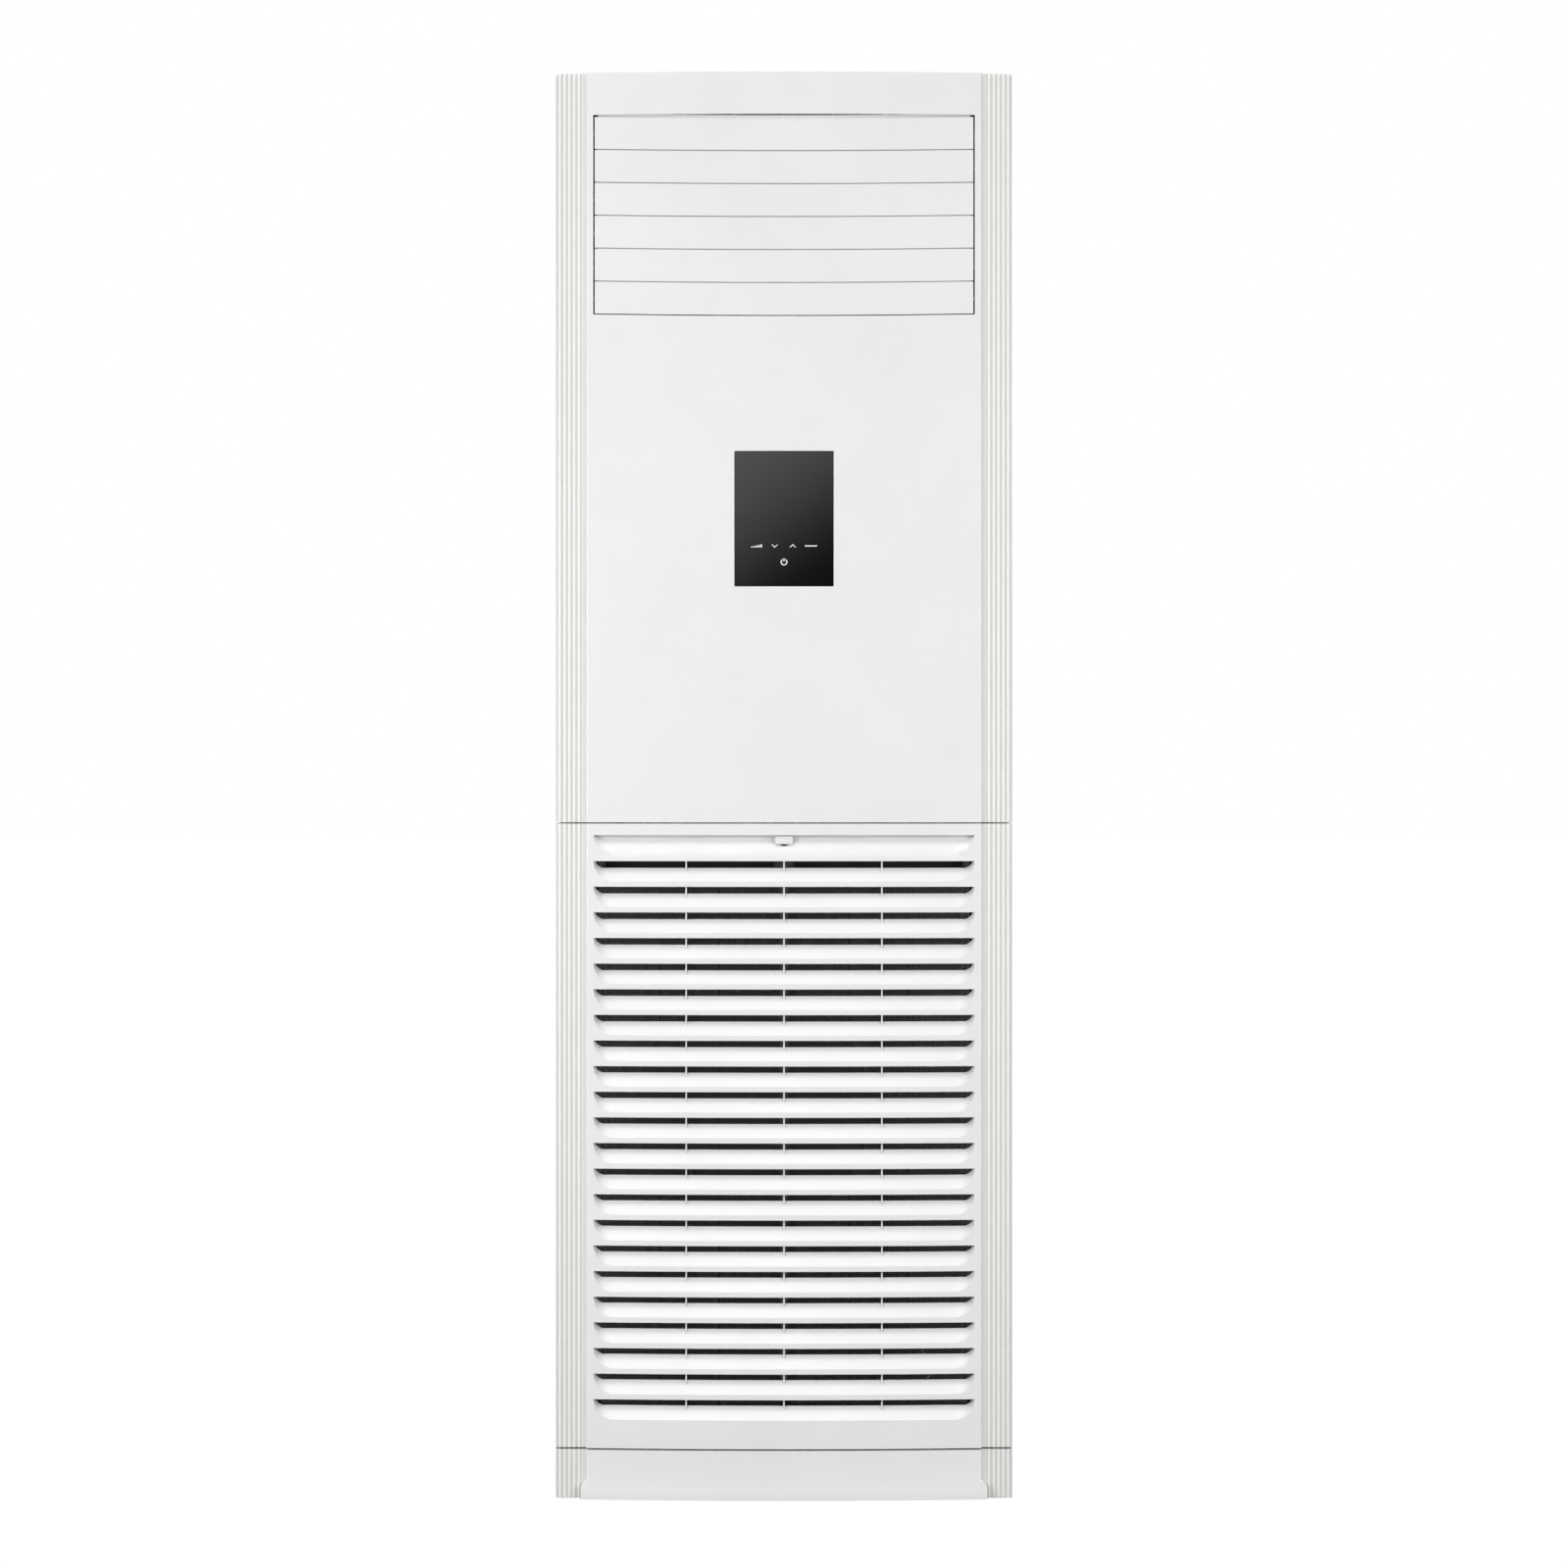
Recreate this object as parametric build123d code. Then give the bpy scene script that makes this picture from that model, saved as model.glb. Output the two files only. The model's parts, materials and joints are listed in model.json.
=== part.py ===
from build123d import *
from math import asin, cos, degrees, radians, sin, sqrt
import os

# Floor standing air conditioner, in millimetres.
# +X is to the right seen from the front, the front faces -Y, +Z is up.
# The origin is on the floor, in the middle of the footprint.

# ---------------------------------------------------------------- cabinet
WIDTH = 594.0  # across the fluted strips
DEPTH = 390.0  # skirt of the plinth to the back of the top cover
HEIGHT = 1850.0
GAP = 0.3  # between seated pieces
OVER = 1.0  # how far a cut runs past a face
WALL = 2.5  # moulded front pieces
SHEET = 1.0  # folded steel sheet
LAP_GAP = 0.5  # mouldings lap over the steel sides with this gap
TOP_SHEET = 1.2  # steel of the top cover
FLANGE = 20.0  # folded edges of the side panels
LAP = 8.0  # how far the mouldings lap over the side panels

# ---------------------------------------------------------------- front mouldings
PANEL_WIDTH = 514.0  # crowned middle part
PANEL_SAG = 10.0  # crown of the middle part, seen from above
PANEL_PROUD = 7.0  # edge of the middle part, in front of the strips
PANEL_EDGE_RADIUS = 3.0
CORNER_RADIUS = 4.0  # outer upright corners of the strips
RETURN_DEPTH = 40.0  # side walls of the mouldings
RIDGE_STOP = 3.5  # ridges end this far below the top
PANEL_RIBS = 4  # fixing ribs up each side of the upper panel
RIDGES = 5  # on each strip
RIDGE_PITCH = 6.2
RIDGE_INSET = 5.8  # outer side to the first ridge
RIDGE_RADIUS = 1.7
RIDGE_PROUD = 1.2
END_RADIUS = 6.0  # rounded outer corners, seen from the front
RIB_THICKNESS = 2.5  # ribs inside the mouldings
RIB_HEIGHT = 30.0

UPPER_SEAM = 876.8  # middle of the seam below the upper panel
LOWER_SEAM = 64.8  # middle of the seam above the plinth
UPPER_SEAM_GAP = 1.6
LOWER_SEAM_GAP = 2.0

SKIRT_HEIGHT = 15.0
SKIRT_OUT = 5.0  # skirt in front of the panel face
SKIRT_SIDE = 7.0  # skirt beyond the panel's sides
SKIRT_SLOPE = 11.0  # height of the slope above the skirt, up to the middle of the wall
PLINTH_TAB_X = 160.0
PLINTH_TAB_WIDTH = 20.0
PLINTH_TAB_LOW = 10.0

# ---------------------------------------------------------------- display
GLASS_WIDTH = 128.2
GLASS_HEIGHT = 175.0
GLASS_DROP = 265.6  # middle of the glass below the outlet
GLASS = 3.0
GLASS_INSET = 0.3
GLASS_SEAT = 4.0  # width of the ledge behind the glass
BEZEL_WIDTH = 12.0  # thick rim of the panel round the glass
BEZEL_DEPTH = 9.0
BOARD_WIDTH = 112.0
BOARD_HEIGHT = 150.0
BOARD = 1.6
BOARD_CHIP = 18.0
BOARD_CHIP_HEIGHT = 2.5
BOARD_CHIPS = ((-30.0, 40.0), (25.0, 10.0), (-10.0, -45.0))  # corners, from the middle of the glass

# ---------------------------------------------------------------- outlet, louvres and vanes
OUTLET_WIDTH = 495.0
OUTLET_DROP = 54.6  # opening below the top of the cabinet
LOUVRES = 6
LOUVRE_PITCH = 42.7
LOUVRE_GAP = 1.4  # between blades when shut
LOUVRE_END_GAP = 1.9
LOUVRE_HEAD = 1.2  # top blade below the upper edge of the opening
LOUVRE_WALL = 2.5
LOUVRE_INSET = 0.8  # blade face behind the panel face
LOUVRE_BOW = 3.2  # blade edges hang lower in the middle
TONGUE = 4.5  # lip of a blade behind the blade above it
TONGUE_WALL = 2.0
TONGUE_GAP = 0.7
TONGUE_OVERLAP = 5.0
TONGUE_SHORTER = 4.0
HINGE_BEHIND = 27.0  # louvre hinge behind the crown of the panel
PIN_RADIUS = 3.0
PIN_PLAY = 0.1
LUG_RADIUS = 6.0
LUG = 3.0
BUSH_RADIUS = 5.0
BUSH_FLANGE_RADIUS = 6.5
BUSH_FLANGE = 0.8
CRANK = 14.0  # hinge to crank pin
CRANK_ANGLE = 45.0  # crank above the level, blades shut
CRANK_WALL = 3.0
CRANK_HUB = 5.0
CRANK_EYE = 4.0  # radius of the crank round its pin
CRANK_PIN_RADIUS = 2.0
CRANK_PIN_LENGTH = 4.6
CRANK_GAP = 0.5
LINK_WALL = 2.5
LINK_WIDTH = 9.0
LINK_END = 7.0
LINK_PLAY = 0.2

CHEEK_X = 249.5  # inner faces of the outlet frame
FRAME_WALL = 2.5
FRAME_DEPTH = 112.0
FRAME_BEHIND = 12.5  # front edge behind the crown of the panel
FRAME_UNDER = 18.6  # frame below the opening
FRAME_ABOVE = 19.6  # frame above the opening
EAR_WIDTH = 38.0
EAR_HEIGHT = 24.0
EAR_INSET = 30.0
VANES = 7
VANE_PITCH = 66.0
VANE_BEHIND = 90.0  # vane pivot behind the crown of the panel
VANE_FRONT = 32.0
VANE_REAR = 25.0
VANE_WALL = 2.0
VANE_LIFT = 4.5  # vane above the floor of the frame
VANE_TOP_GAP = 1.0
VANE_PIVOT_RADIUS = 2.5
VANE_BOSS_RADIUS = 3.5
VANE_CRANK = 20.0
VANE_PEG_RADIUS = 1.8
VANE_LINK_LIFT = 1.0
STEPPER_RADIUS = 14.0
STEPPER_LENGTH = 19.0
STEPPER_EAR = 17.5
STEPPER_EAR_RADIUS = 4.0
STEPPER_EAR_WALL = 1.0
STEPPER_HOLE_DEPTH = 8.0
SCREW_HOLE = 1.7

# ---------------------------------------------------------------- intake grille
SLOTS = 22
SLOT_PITCH = 33.24
FIRST_SLOT_TOP = 827.4
SLOT_WIDTH = 494.4
SCOOP_HEIGHT = 26.4
SCOOP_RADIUS = 25.4
SCOOP_DEPTH = 12.0
SLOT_OPENING = 9.0
SLOT_CORNER = 14.0  # long half axis of the opening's rounded ends
SLOT_END_INSET = 1.1
SCOOP_SPLIT = 60.0  # degrees of a scoop's end that run into the corner of the opening
GRILLE_DEPTH = 14.5  # thickness of the slotted part
GRILLE_MARGIN = 5.0
BACK_WALL = 2.4  # left behind the scoops
GRILLE_RIBS = (-127.0, 0.0, 127.0)
GRILLE_RIB_WALL = 2.0
GRILLE_RIB_DEPTH = 8.0
RECESS_TOP = 861.0
RECESS_HEIGHT = 24.0
RECESS_LIP = 3.0  # height of the recess at its full depth
RECESS_SPLIT = 50.0  # degrees of its ends that run into the corner of that depth
GRILLE_HINGE_Z = 120.0
GRILLE_HINGE_BEHIND = 10.0  # behind the face of the strips
GRILLE_LUG = 5.0
GRILLE_LUG_RADIUS = 6.8
GRILLE_LUG_X = 274.0
HINGE_PLATE = 2.0
HINGE_PIN_END = 3.0
HOOK_MOUTH = 2.7  # half width of the hook's mouth, which snaps over the pin
HINGE_FOOT = 30.0

TAB_WIDTH = 22.7
TAB_HEIGHT = 10.3
TAB_TOP = 859.8
TAB_WALL = 2.2
TAB_CORNER = 2.0
TAB_INSET = 2.4  # behind the crown of the panel
TAB_STEM = 10.8
TAB_STEM_HEIGHT = 4.5
TAB_STEM_TOP = 857.5
TAB_REACH = 30.0  # stem, from the crown of the panel
TAB_NOSE = 7.0
TAB_NOSE_WALL = 2.0
TAB_TRAVEL = 3.5
THUMB_WIDTH = 11.7
THUMB_DROP = 2.5  # thumb dimple below the stem's lowest place
THUMB_SAG = 2.0  # curve of the dimple's lower edge
KEEPER_WIDTH = 28.0
KEEPER_LIP = 2.0
KEEPER_GAP = 1.5
RAIL_WALL = 1.2
RAIL_BOTTOM = 850.0
RAIL_TOP = 892.0
RAIL_FLANGE = 5.0

FILTER_HEIGHT = 700.0
FILTER_BOTTOM = 100.0
FILTER_THICKNESS = 5.0
FILTER_EDGE = 9.0
FILTER_NET = 1.0
FILTER_BEHIND = 26.0  # front face behind the crown of the panel
FILTER_X_IN = 8.0
FILTER_X_OUT = 238.0
FILTER_BARS_UP = 2
FILTER_BARS_ACROSS = 6
FILTER_BAR = 2.5
FILTER_GRIP = 40.0
FILTER_GRIP_HEIGHT = 8.0
CHANNEL_GAP = 0.5
CHANNEL_WALL = 2.5
CHANNEL_LIP = 5.0
CHANNEL_BOTTOM = 140.0

# ---------------------------------------------------------------- blower
BLOWER_X = -42.0
BLOWER_Z = 498.0
SCROLL_FRONT = -80.0
SCROLL_REAR = 105.0
SCROLL_WALL = 2.0
SCROLL_FIRST_RADIUS = 173.0
SCROLL_STEP = 16.0  # growth for each quarter turn
SCROLL_PLAY = 1.0  # round the bell mouth
IMPELLER_RADIUS = 150.0
IMPELLER_BORE = 128.0
IMPELLER_BLADES = 42
IMPELLER_BLADE_WALL = 1.2
BLADE_LEAN = 6.0  # ends of a blade, either side of a straight spoke
BLADE_CURVE = 14.0
IMPELLER_RING = 4.0
IMPELLER_FRONT = -68.0
IMPELLER_REAR = 81.0
IMPELLER_DISC = 3.0
HUB_RADIUS = 20.0
HUB_LENGTH = 28.0
INLET_RADIUS = 156.0
INLET_THROAT = 122.0
INLET_WALL = 2.0
INLET_LENGTH = 24.0
INLET_BELL = 18.0
MOTOR_RADIUS = 60.0
MOTOR_FRONT = 90.0
MOTOR_LENGTH = 84.0
MOTOR_FLANGE_RADIUS = 78.0
MOTOR_FLANGE = 4.0
MOTOR_FINS = 24
MOTOR_GROOVE = 3.0
MOTOR_END = 4.0  # plain ends beyond the grooves
MOTOR_HOLE_PLAY = 3.0
SHAFT_RADIUS = 6.0
SHAFT_NUT = 10.0
BRACKET_WALL = 2.0
BRACKET_HALF = 150.0
BRACKET_TOP = 690.0
BRACKET_FLANGE = 30.0
DECK_Z = 835.0
DECK_WALL = 1.2
DECK_FLANGE = 15.0
DECK_FRONT = -136.0
PIPE_NOTCH = 70.0  # notch in the deck's rear corner, for the pipes
PIPE_NOTCH_DEPTH = 98.0

# ---------------------------------------------------------------- coil
COIL_LEFT = -245.0
COIL_RIGHT = 215.0
COIL_FOOT = 70.5  # foot of the coil above the blower deck
COIL_HEAD = 73.5  # head of the coil below the outlet frame
COIL_THICKNESS = 45.0
COIL_Y = 12.0
COIL_TILT = 24.0  # degrees off upright, top towards the back
FIN_PITCH = 5.0
FIN = 1.5
FIN_DEPTH = 3.0
END_PLATE = 1.5
END_PLATE_WIDTH = 56.0
END_PLATE_ARM = 20.0  # height of the arm that leans on the liner
BEND_RADIUS = 12.7
BEND_TUBE = 4.76
BEND_STUB = 5.0
BEND_ROWS = 2
BENDS_IN_ROW = 8
BEND_MARGIN = 62.0  # length of the coil without bends
PAN_LEFT = -262.0
PAN_RIGHT = 240.0
PAN_FRONT = -134.5
PAN_DEPTH = 52.0
PAN_HEIGHT = 44.0
PAN_WALL = 2.0
DRAIN_X = 228.0
DRAIN_Y = -112.0
DRAIN_RADIUS = 9.0
DRAIN_BORE = 7.0
DRAIN_BEND = 24.0
DRAIN_END_Y = 150.0
DRAIN_PLAY = 2.0
LINER_WALL = 10.0
LINER_TOP_GAP = 1.0

# ---------------------------------------------------------------- pipes and electrics
GAS_RADIUS = 7.94
GAS_X = 250.0
GAS_Y = 130.0
GAS_UP = 145.0  # start on the end plate, along the coil from its foot
LIQUID_RADIUS = 4.76
LIQUID_X = 268.0
LIQUID_Y = 160.0
LIQUID_UP = 95.0
PIPE_END = 200.0
PIPE_BEND = 22.0
UNION_NUT = 22.0
UNION_NUT_WALL = 7.5  # corner radius of the nut, beyond the pipe's
UNION_THREAD = 18.0
UNION_THREAD_SHARE = 1.25  # thread radius against the pipe's radius
PORT_X = 215.0
PORT_Z = 115.0
PORT_RADIUS = 38.0
GROMMET_BORE = 34.0
GROMMET_RIM = 42.0
GROMMET_LIP = 1.2
BOX_LEFT = 190.0
BOX_FRONT = -95.0
BOX_DEPTH = 150.0
BOX_BOTTOM = 260.0
BOX_TOP = 640.0
LID_WALL = 1.2
LID_GRIP = 3.0
CIRCUIT_GAP = 8.0
CIRCUIT_MARGIN = 8.0
CIRCUIT_BOTTOM = 400.0
TERMINALS = 6
TERMINAL_PITCH = 12.0
TERMINAL_DEPTH = 18.0
TERMINAL_HEIGHT = 26.0
TERMINAL_BOTTOM = 300.0
TERMINAL_WELL = 4.0
TERMINAL_SCREW = 3.0
TERMINAL_DROP = 2.0
POST_RADIUS = 2.5
CAPACITORS = ((-20.0, 12.0, 38.0), (20.0, 9.0, 28.0))  # across, radius, height
CAPACITOR_UP = 60.0
TRANSFORMER = (50.0, 24.0, 45.0)
GLAND_X = 240.0
GLAND_Y = 10.0
GLAND_RADIUS = 9.0
GLAND_BORE = 5.0
GLAND_NUT = 13.0
GLAND_LENGTH = 14.0
GLAND_INSIDE = 4.0

# ---------------------------------------------------------------- pan, back and fixings
PAN_SHEET = 1.5
BASE_WALL = 45.0
ANCHOR_RADIUS = 5.0
ANCHOR_X = 220.0
ANCHOR_FRONT = -90.0
ANCHOR_REAR = 140.0
WALL_ANCHOR_RADIUS = 4.0
WALL_ANCHOR_X = 200.0
WALL_ANCHOR_DROP = 60.0  # below the top of the cabinet
SWAGES = 4
SWAGE_WIDTH = 440.0
SWAGE_HEIGHT = 12.0
SWAGE_DEPTH = 0.6
SCREW_RADIUS = 1.8
SCREW_HEAD = 4.5
SCREW_PLAY = 0.2
SCREW_LENGTH = 8.0
REAR_SCREWS = 6
REAR_SCREW_FIRST = 120.0
REAR_SCREW_INSET = 10.0  # from the outer face of the side panel
COVER_FLANGE = 20.0
SIDE_FOOT = 2.0

# ---------------------------------------------------------------- places that follow from the sizes
DIAGONAL = sin(radians(45))  # middle of a quarter turn
X_OUT = WIDTH / 2
X_PANEL = PANEL_WIDTH / 2
Y_SKIRT = -DEPTH / 2
Y_FRONT = Y_SKIRT + SKIRT_OUT
Y_STRIP = Y_FRONT + PANEL_SAG + PANEL_PROUD
Y_RETURN = Y_STRIP + RETURN_DEPTH
Y_FLANGE = Y_RETURN - LAP
Y_REAR = DEPTH / 2
PANEL_RADIUS = X_PANEL**2 / (2 * PANEL_SAG) + PANEL_SAG / 2
Y_CENTRE = Y_FRONT + PANEL_RADIUS
X_SIDE = X_OUT - WALL - LAP_GAP
Y_BACK = Y_REAR - TOP_SHEET - GAP
X_INSIDE = X_SIDE - SHEET - GAP
Y_INSIDE = Y_BACK - 2 * SHEET - GAP
Y_PAN = Y_FLANGE + SHEET + GAP
GRILLE_TOP = UPPER_SEAM - UPPER_SEAM_GAP / 2
GRILLE_BOTTOM = LOWER_SEAM + LOWER_SEAM_GAP / 2
PANEL_BOTTOM = UPPER_SEAM + UPPER_SEAM_GAP / 2
PLINTH_TOP = LOWER_SEAM - LOWER_SEAM_GAP / 2
OUTLET_TOP = HEIGHT - OUTLET_DROP
OUTLET_BOTTOM = OUTLET_TOP - LOUVRE_HEAD - LOUVRES * LOUVRE_PITCH - LOUVRE_GAP
FRAME_BOTTOM = OUTLET_BOTTOM - FRAME_UNDER
FRAME_TOP = OUTLET_TOP + FRAME_ABOVE
GLASS_Z = OUTLET_BOTTOM - GLASS_DROP
WALL_ANCHOR_Z = HEIGHT - WALL_ANCHOR_DROP
COIL_LOW, COIL_HIGH = DECK_Z + COIL_FOOT, FRAME_BOTTOM - COIL_HEAD
COIL_Z = (COIL_LOW + COIL_HIGH) / 2
COIL_LENGTH = (COIL_HIGH - COIL_LOW) / cos(radians(COIL_TILT))
BEND_PITCH = (COIL_LENGTH - BEND_MARGIN) / BENDS_IN_ROW
LOUVRE_Y = Y_FRONT + HINGE_BEHIND
LOUVRE_HALF = OUTLET_WIDTH / 2 - LOUVRE_END_GAP
LOUVRE_HEIGHT = LOUVRE_PITCH - LOUVRE_GAP
CHEEK_OUT = CHEEK_X + FRAME_WALL
CRANK_Y = LOUVRE_Y + CRANK * cos(radians(CRANK_ANGLE))
CRANK_UP = CRANK * sin(radians(CRANK_ANGLE))
CRANK_X = CHEEK_OUT + BUSH_FLANGE + CRANK_GAP
VANE_Y = Y_FRONT + VANE_BEHIND
FRAME_FRONT = Y_FRONT + FRAME_BEHIND
VANE_BOTTOM = FRAME_BOTTOM + FRAME_WALL + VANE_LIFT
VANE_TOP = FRAME_TOP - FRAME_WALL - VANE_TOP_GAP
VANE_LINK_Z = FRAME_BOTTOM + FRAME_WALL + VANE_LINK_LIFT
GRILLE_HINGE_Y = Y_STRIP + GRILLE_HINGE_BEHIND
SIDE_TOP = HEIGHT - WALL - GAP
SCROLL_MIDDLE = (SCROLL_FRONT + SCROLL_REAR) / 2
SCROLL_LEFT = BLOWER_X - SCROLL_STEP / 2
SCROLL_RIGHT = BLOWER_X + SCROLL_FIRST_RADIUS + 5 * SCROLL_STEP / 2
SCROLL_HOLE = INLET_THROAT + INLET_BELL + SCROLL_PLAY
LINER_BACK = Y_BACK - SCREW_LENGTH - GAP
BRACKET_FACE = SCROLL_REAR
DECK_TOP = DECK_Z + DECK_WALL
BOX_RIGHT = X_INSIDE
PAN_FLOOR = DECK_TOP + PAN_WALL
FILTER_FRONT = Y_FRONT + FILTER_BEHIND
FILTER_BACK = FILTER_FRONT + FILTER_THICKNESS
SCREW_X = X_SIDE - REAR_SCREW_INSET


# ---------------------------------------------------------------- small helpers
def block(x0, x1, y0, y1, z0, z1):
    """Block between two corners."""
    centre = Pos((x0 + x1) / 2, (y0 + y1) / 2, (z0 + z1) / 2)
    return centre * Box(abs(x1 - x0), abs(y1 - y0), abs(z1 - z0))


def rod(axis, u, v, radius, start, end):
    """Round bar along X, Y or Z; u and v are its other two coordinates, in X, Y, Z order."""
    middle = (start + end) / 2
    bar = Cylinder(radius, abs(end - start))
    if axis == "X":
        return Pos(middle, u, v) * Rot(0, 90, 0) * bar
    if axis == "Y":
        return Pos(u, middle, v) * Rot(90, 0, 0) * bar
    return Pos(u, v, middle) * bar


def upright(face, y0, y1):
    """Solid from a face drawn in X and Z, between two depths."""
    return extrude(Plane.XZ.offset(-y1) * face, amount=y1 - y0, dir=(0, -1, 0))


def sideways(face, x0, x1):
    """Solid from a face drawn in Y and Z, between two places across the width."""
    return extrude(Plane.YZ.offset(x0) * face, amount=x1 - x0, dir=(1, 0, 0))


def level(face, z0, z1):
    """Solid from a face drawn in X and Y, between two heights."""
    return extrude(Plane.XY.offset(z0) * face, amount=z1 - z0, dir=(0, 0, 1))


def both_sides(piece):
    """A piece and its mirror image across the middle of the width."""
    return piece + mirror(piece, about=Plane.YZ)


def crown_y(x, inset=0.0):
    """Depth of the crowned front face at x, drawn in by an inset."""
    return Y_CENTRE - sqrt((PANEL_RADIUS - inset) ** 2 - x**2)


def crowned_slab(front, depth, x0, x1, z0, z1):
    """Slab that follows the crown of the panel; front is its inset from the panel face."""
    outer, inner = front, front + depth
    middle = (x0 + x1) / 2
    edges = [
        ThreePointArc((x0, crown_y(x0, outer)), (middle, crown_y(middle, outer)), (x1, crown_y(x1, outer))),
        Line((x1, crown_y(x1, outer)), (x1, crown_y(x1, inner))),
        ThreePointArc((x1, crown_y(x1, inner)), (middle, crown_y(middle, inner)), (x0, crown_y(x0, inner))),
        Line((x0, crown_y(x0, inner)), (x0, crown_y(x0, outer))),
    ]
    return level(make_face(edges), z0, z1)


def front_outline(inset):
    """Filled outline of the front mouldings from above, drawn in by a wall."""
    x_out, x_panel = X_OUT - inset, X_PANEL - inset
    y_strip = Y_STRIP + inset
    corner, edge = CORNER_RADIUS - inset, PANEL_EDGE_RADIUS - inset
    y_edge = crown_y(x_panel - edge, inset)
    half = [
        Line((x_out, Y_RETURN), (x_out, y_strip + corner)),
        ThreePointArc(
            (x_out, y_strip + corner),
            (x_out - corner * (1 - DIAGONAL), y_strip + corner * (1 - DIAGONAL)),
            (x_out - corner, y_strip),
        ),
        Line((x_out - corner, y_strip), (x_panel, y_strip)),
        Line((x_panel, y_strip), (x_panel, y_edge + edge)),
        ThreePointArc(
            (x_panel, y_edge + edge),
            (x_panel - edge * (1 - DIAGONAL), y_edge + edge * (1 - DIAGONAL)),
            (x_panel - edge, y_edge),
        ),
    ]
    crown = ThreePointArc((x_panel - edge, y_edge), (0, Y_FRONT + inset), (edge - x_panel, y_edge))
    back = Line((-x_out, Y_RETURN), (x_out, Y_RETURN))
    other = [mirror(line, about=Plane.YZ) for line in half]
    return make_face(half + [crown] + other + [back])


def front_shell(z0, z1):
    """Shell shared by the three front mouldings, with the ridges of its strips."""
    ridges = None
    for number in range(RIDGES):
        x = X_OUT - RIDGE_INSET - number * RIDGE_PITCH
        ridge = rod("Z", x, Y_STRIP + RIDGE_RADIUS - RIDGE_PROUD, RIDGE_RADIUS, z0, z1)
        ridges = ridge if ridges is None else ridges + ridge
    return level(front_outline(0.0), z0, z1) + both_sides(ridges)


def hollow(piece, z0, z1):
    """Take the inside out of a front moulding."""
    inside = level(front_outline(WALL), z0, z1)
    behind = block(WALL - X_OUT, X_OUT - WALL, Y_RETURN - WALL, Y_RETURN + WALL, z0, z1)
    return piece - inside - behind


def corner_tool(z_corner, upwards):
    """What rounds the two outer corners of a moulding at its end, seen from the front."""
    z_in = z_corner + upwards * END_RADIUS
    z_out = z_corner - upwards * OVER
    x_in = X_OUT - END_RADIUS
    low, high = min(z_in, z_out), max(z_in, z_out)
    y0, y1 = Y_STRIP - RIDGE_PROUD - OVER, Y_RETURN + OVER
    corner = block(x_in, X_OUT + OVER, y0, y1, low, high)
    return both_sides(corner - rod("Y", x_in, z_in, END_RADIUS, y0, y1))


def fixing_ribs(heights):
    """Ribs from the strips back to the folded edges of the side panels."""
    ribs = None
    for z in heights:
        for x in (X_SIDE - FLANGE + RIB_THICKNESS, X_SIDE - 2 * RIB_THICKNESS):
            rib = block(x, x + RIB_THICKNESS, Y_STRIP + WALL / 2, Y_FLANGE - GAP, z, z + RIB_HEIGHT)
            ribs = rib if ribs is None else ribs + rib
    return both_sides(ribs)


def screw_heights():
    """Heights of the screws down each side of the rear panel."""
    step = (WALL_ANCHOR_Z - REAR_SCREW_FIRST) / (REAR_SCREWS - 1)
    return [REAR_SCREW_FIRST + number * step for number in range(REAR_SCREWS)]


def joined(pieces):
    """Fuse a list of pieces."""
    whole = pieces[0]
    for piece in pieces[1:]:
        whole = whole + piece
    return whole


# ---------------------------------------------------------------- cabinet
def base_pan():
    """Pressed tray that the cabinet stands on, with four anchor holes."""
    y0, y1 = Y_PAN, Y_INSIDE
    tray = block(-X_INSIDE, X_INSIDE, y0, y1, 0, BASE_WALL)
    x_in = X_INSIDE - PAN_SHEET
    tray -= block(-x_in, x_in, y0 + PAN_SHEET, y1 - PAN_SHEET, PAN_SHEET, HEIGHT)
    for x in (-ANCHOR_X, ANCHOR_X):
        for y in (ANCHOR_FRONT, ANCHOR_REAR):
            tray -= rod("Z", x, y, ANCHOR_RADIUS, -1, PAN_SHEET + OVER)
    return tray


def side_panel():
    """Right side panel with its folded front and rear edges."""
    panel = block(X_SIDE - SHEET, X_SIDE, Y_FLANGE, Y_BACK - SHEET, SIDE_FOOT, SIDE_TOP)
    panel += block(X_SIDE - FLANGE, X_SIDE, Y_FLANGE, Y_FLANGE + SHEET, SIDE_FOOT, SIDE_TOP)
    panel += block(X_SIDE - FLANGE, X_SIDE, Y_BACK - 2 * SHEET, Y_BACK - SHEET, SIDE_FOOT, SIDE_TOP)
    for z in screw_heights():
        panel -= rod("Y", SCREW_X, z, SCREW_RADIUS + SCREW_PLAY, Y_INSIDE, Y_BACK)
    return panel


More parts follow.
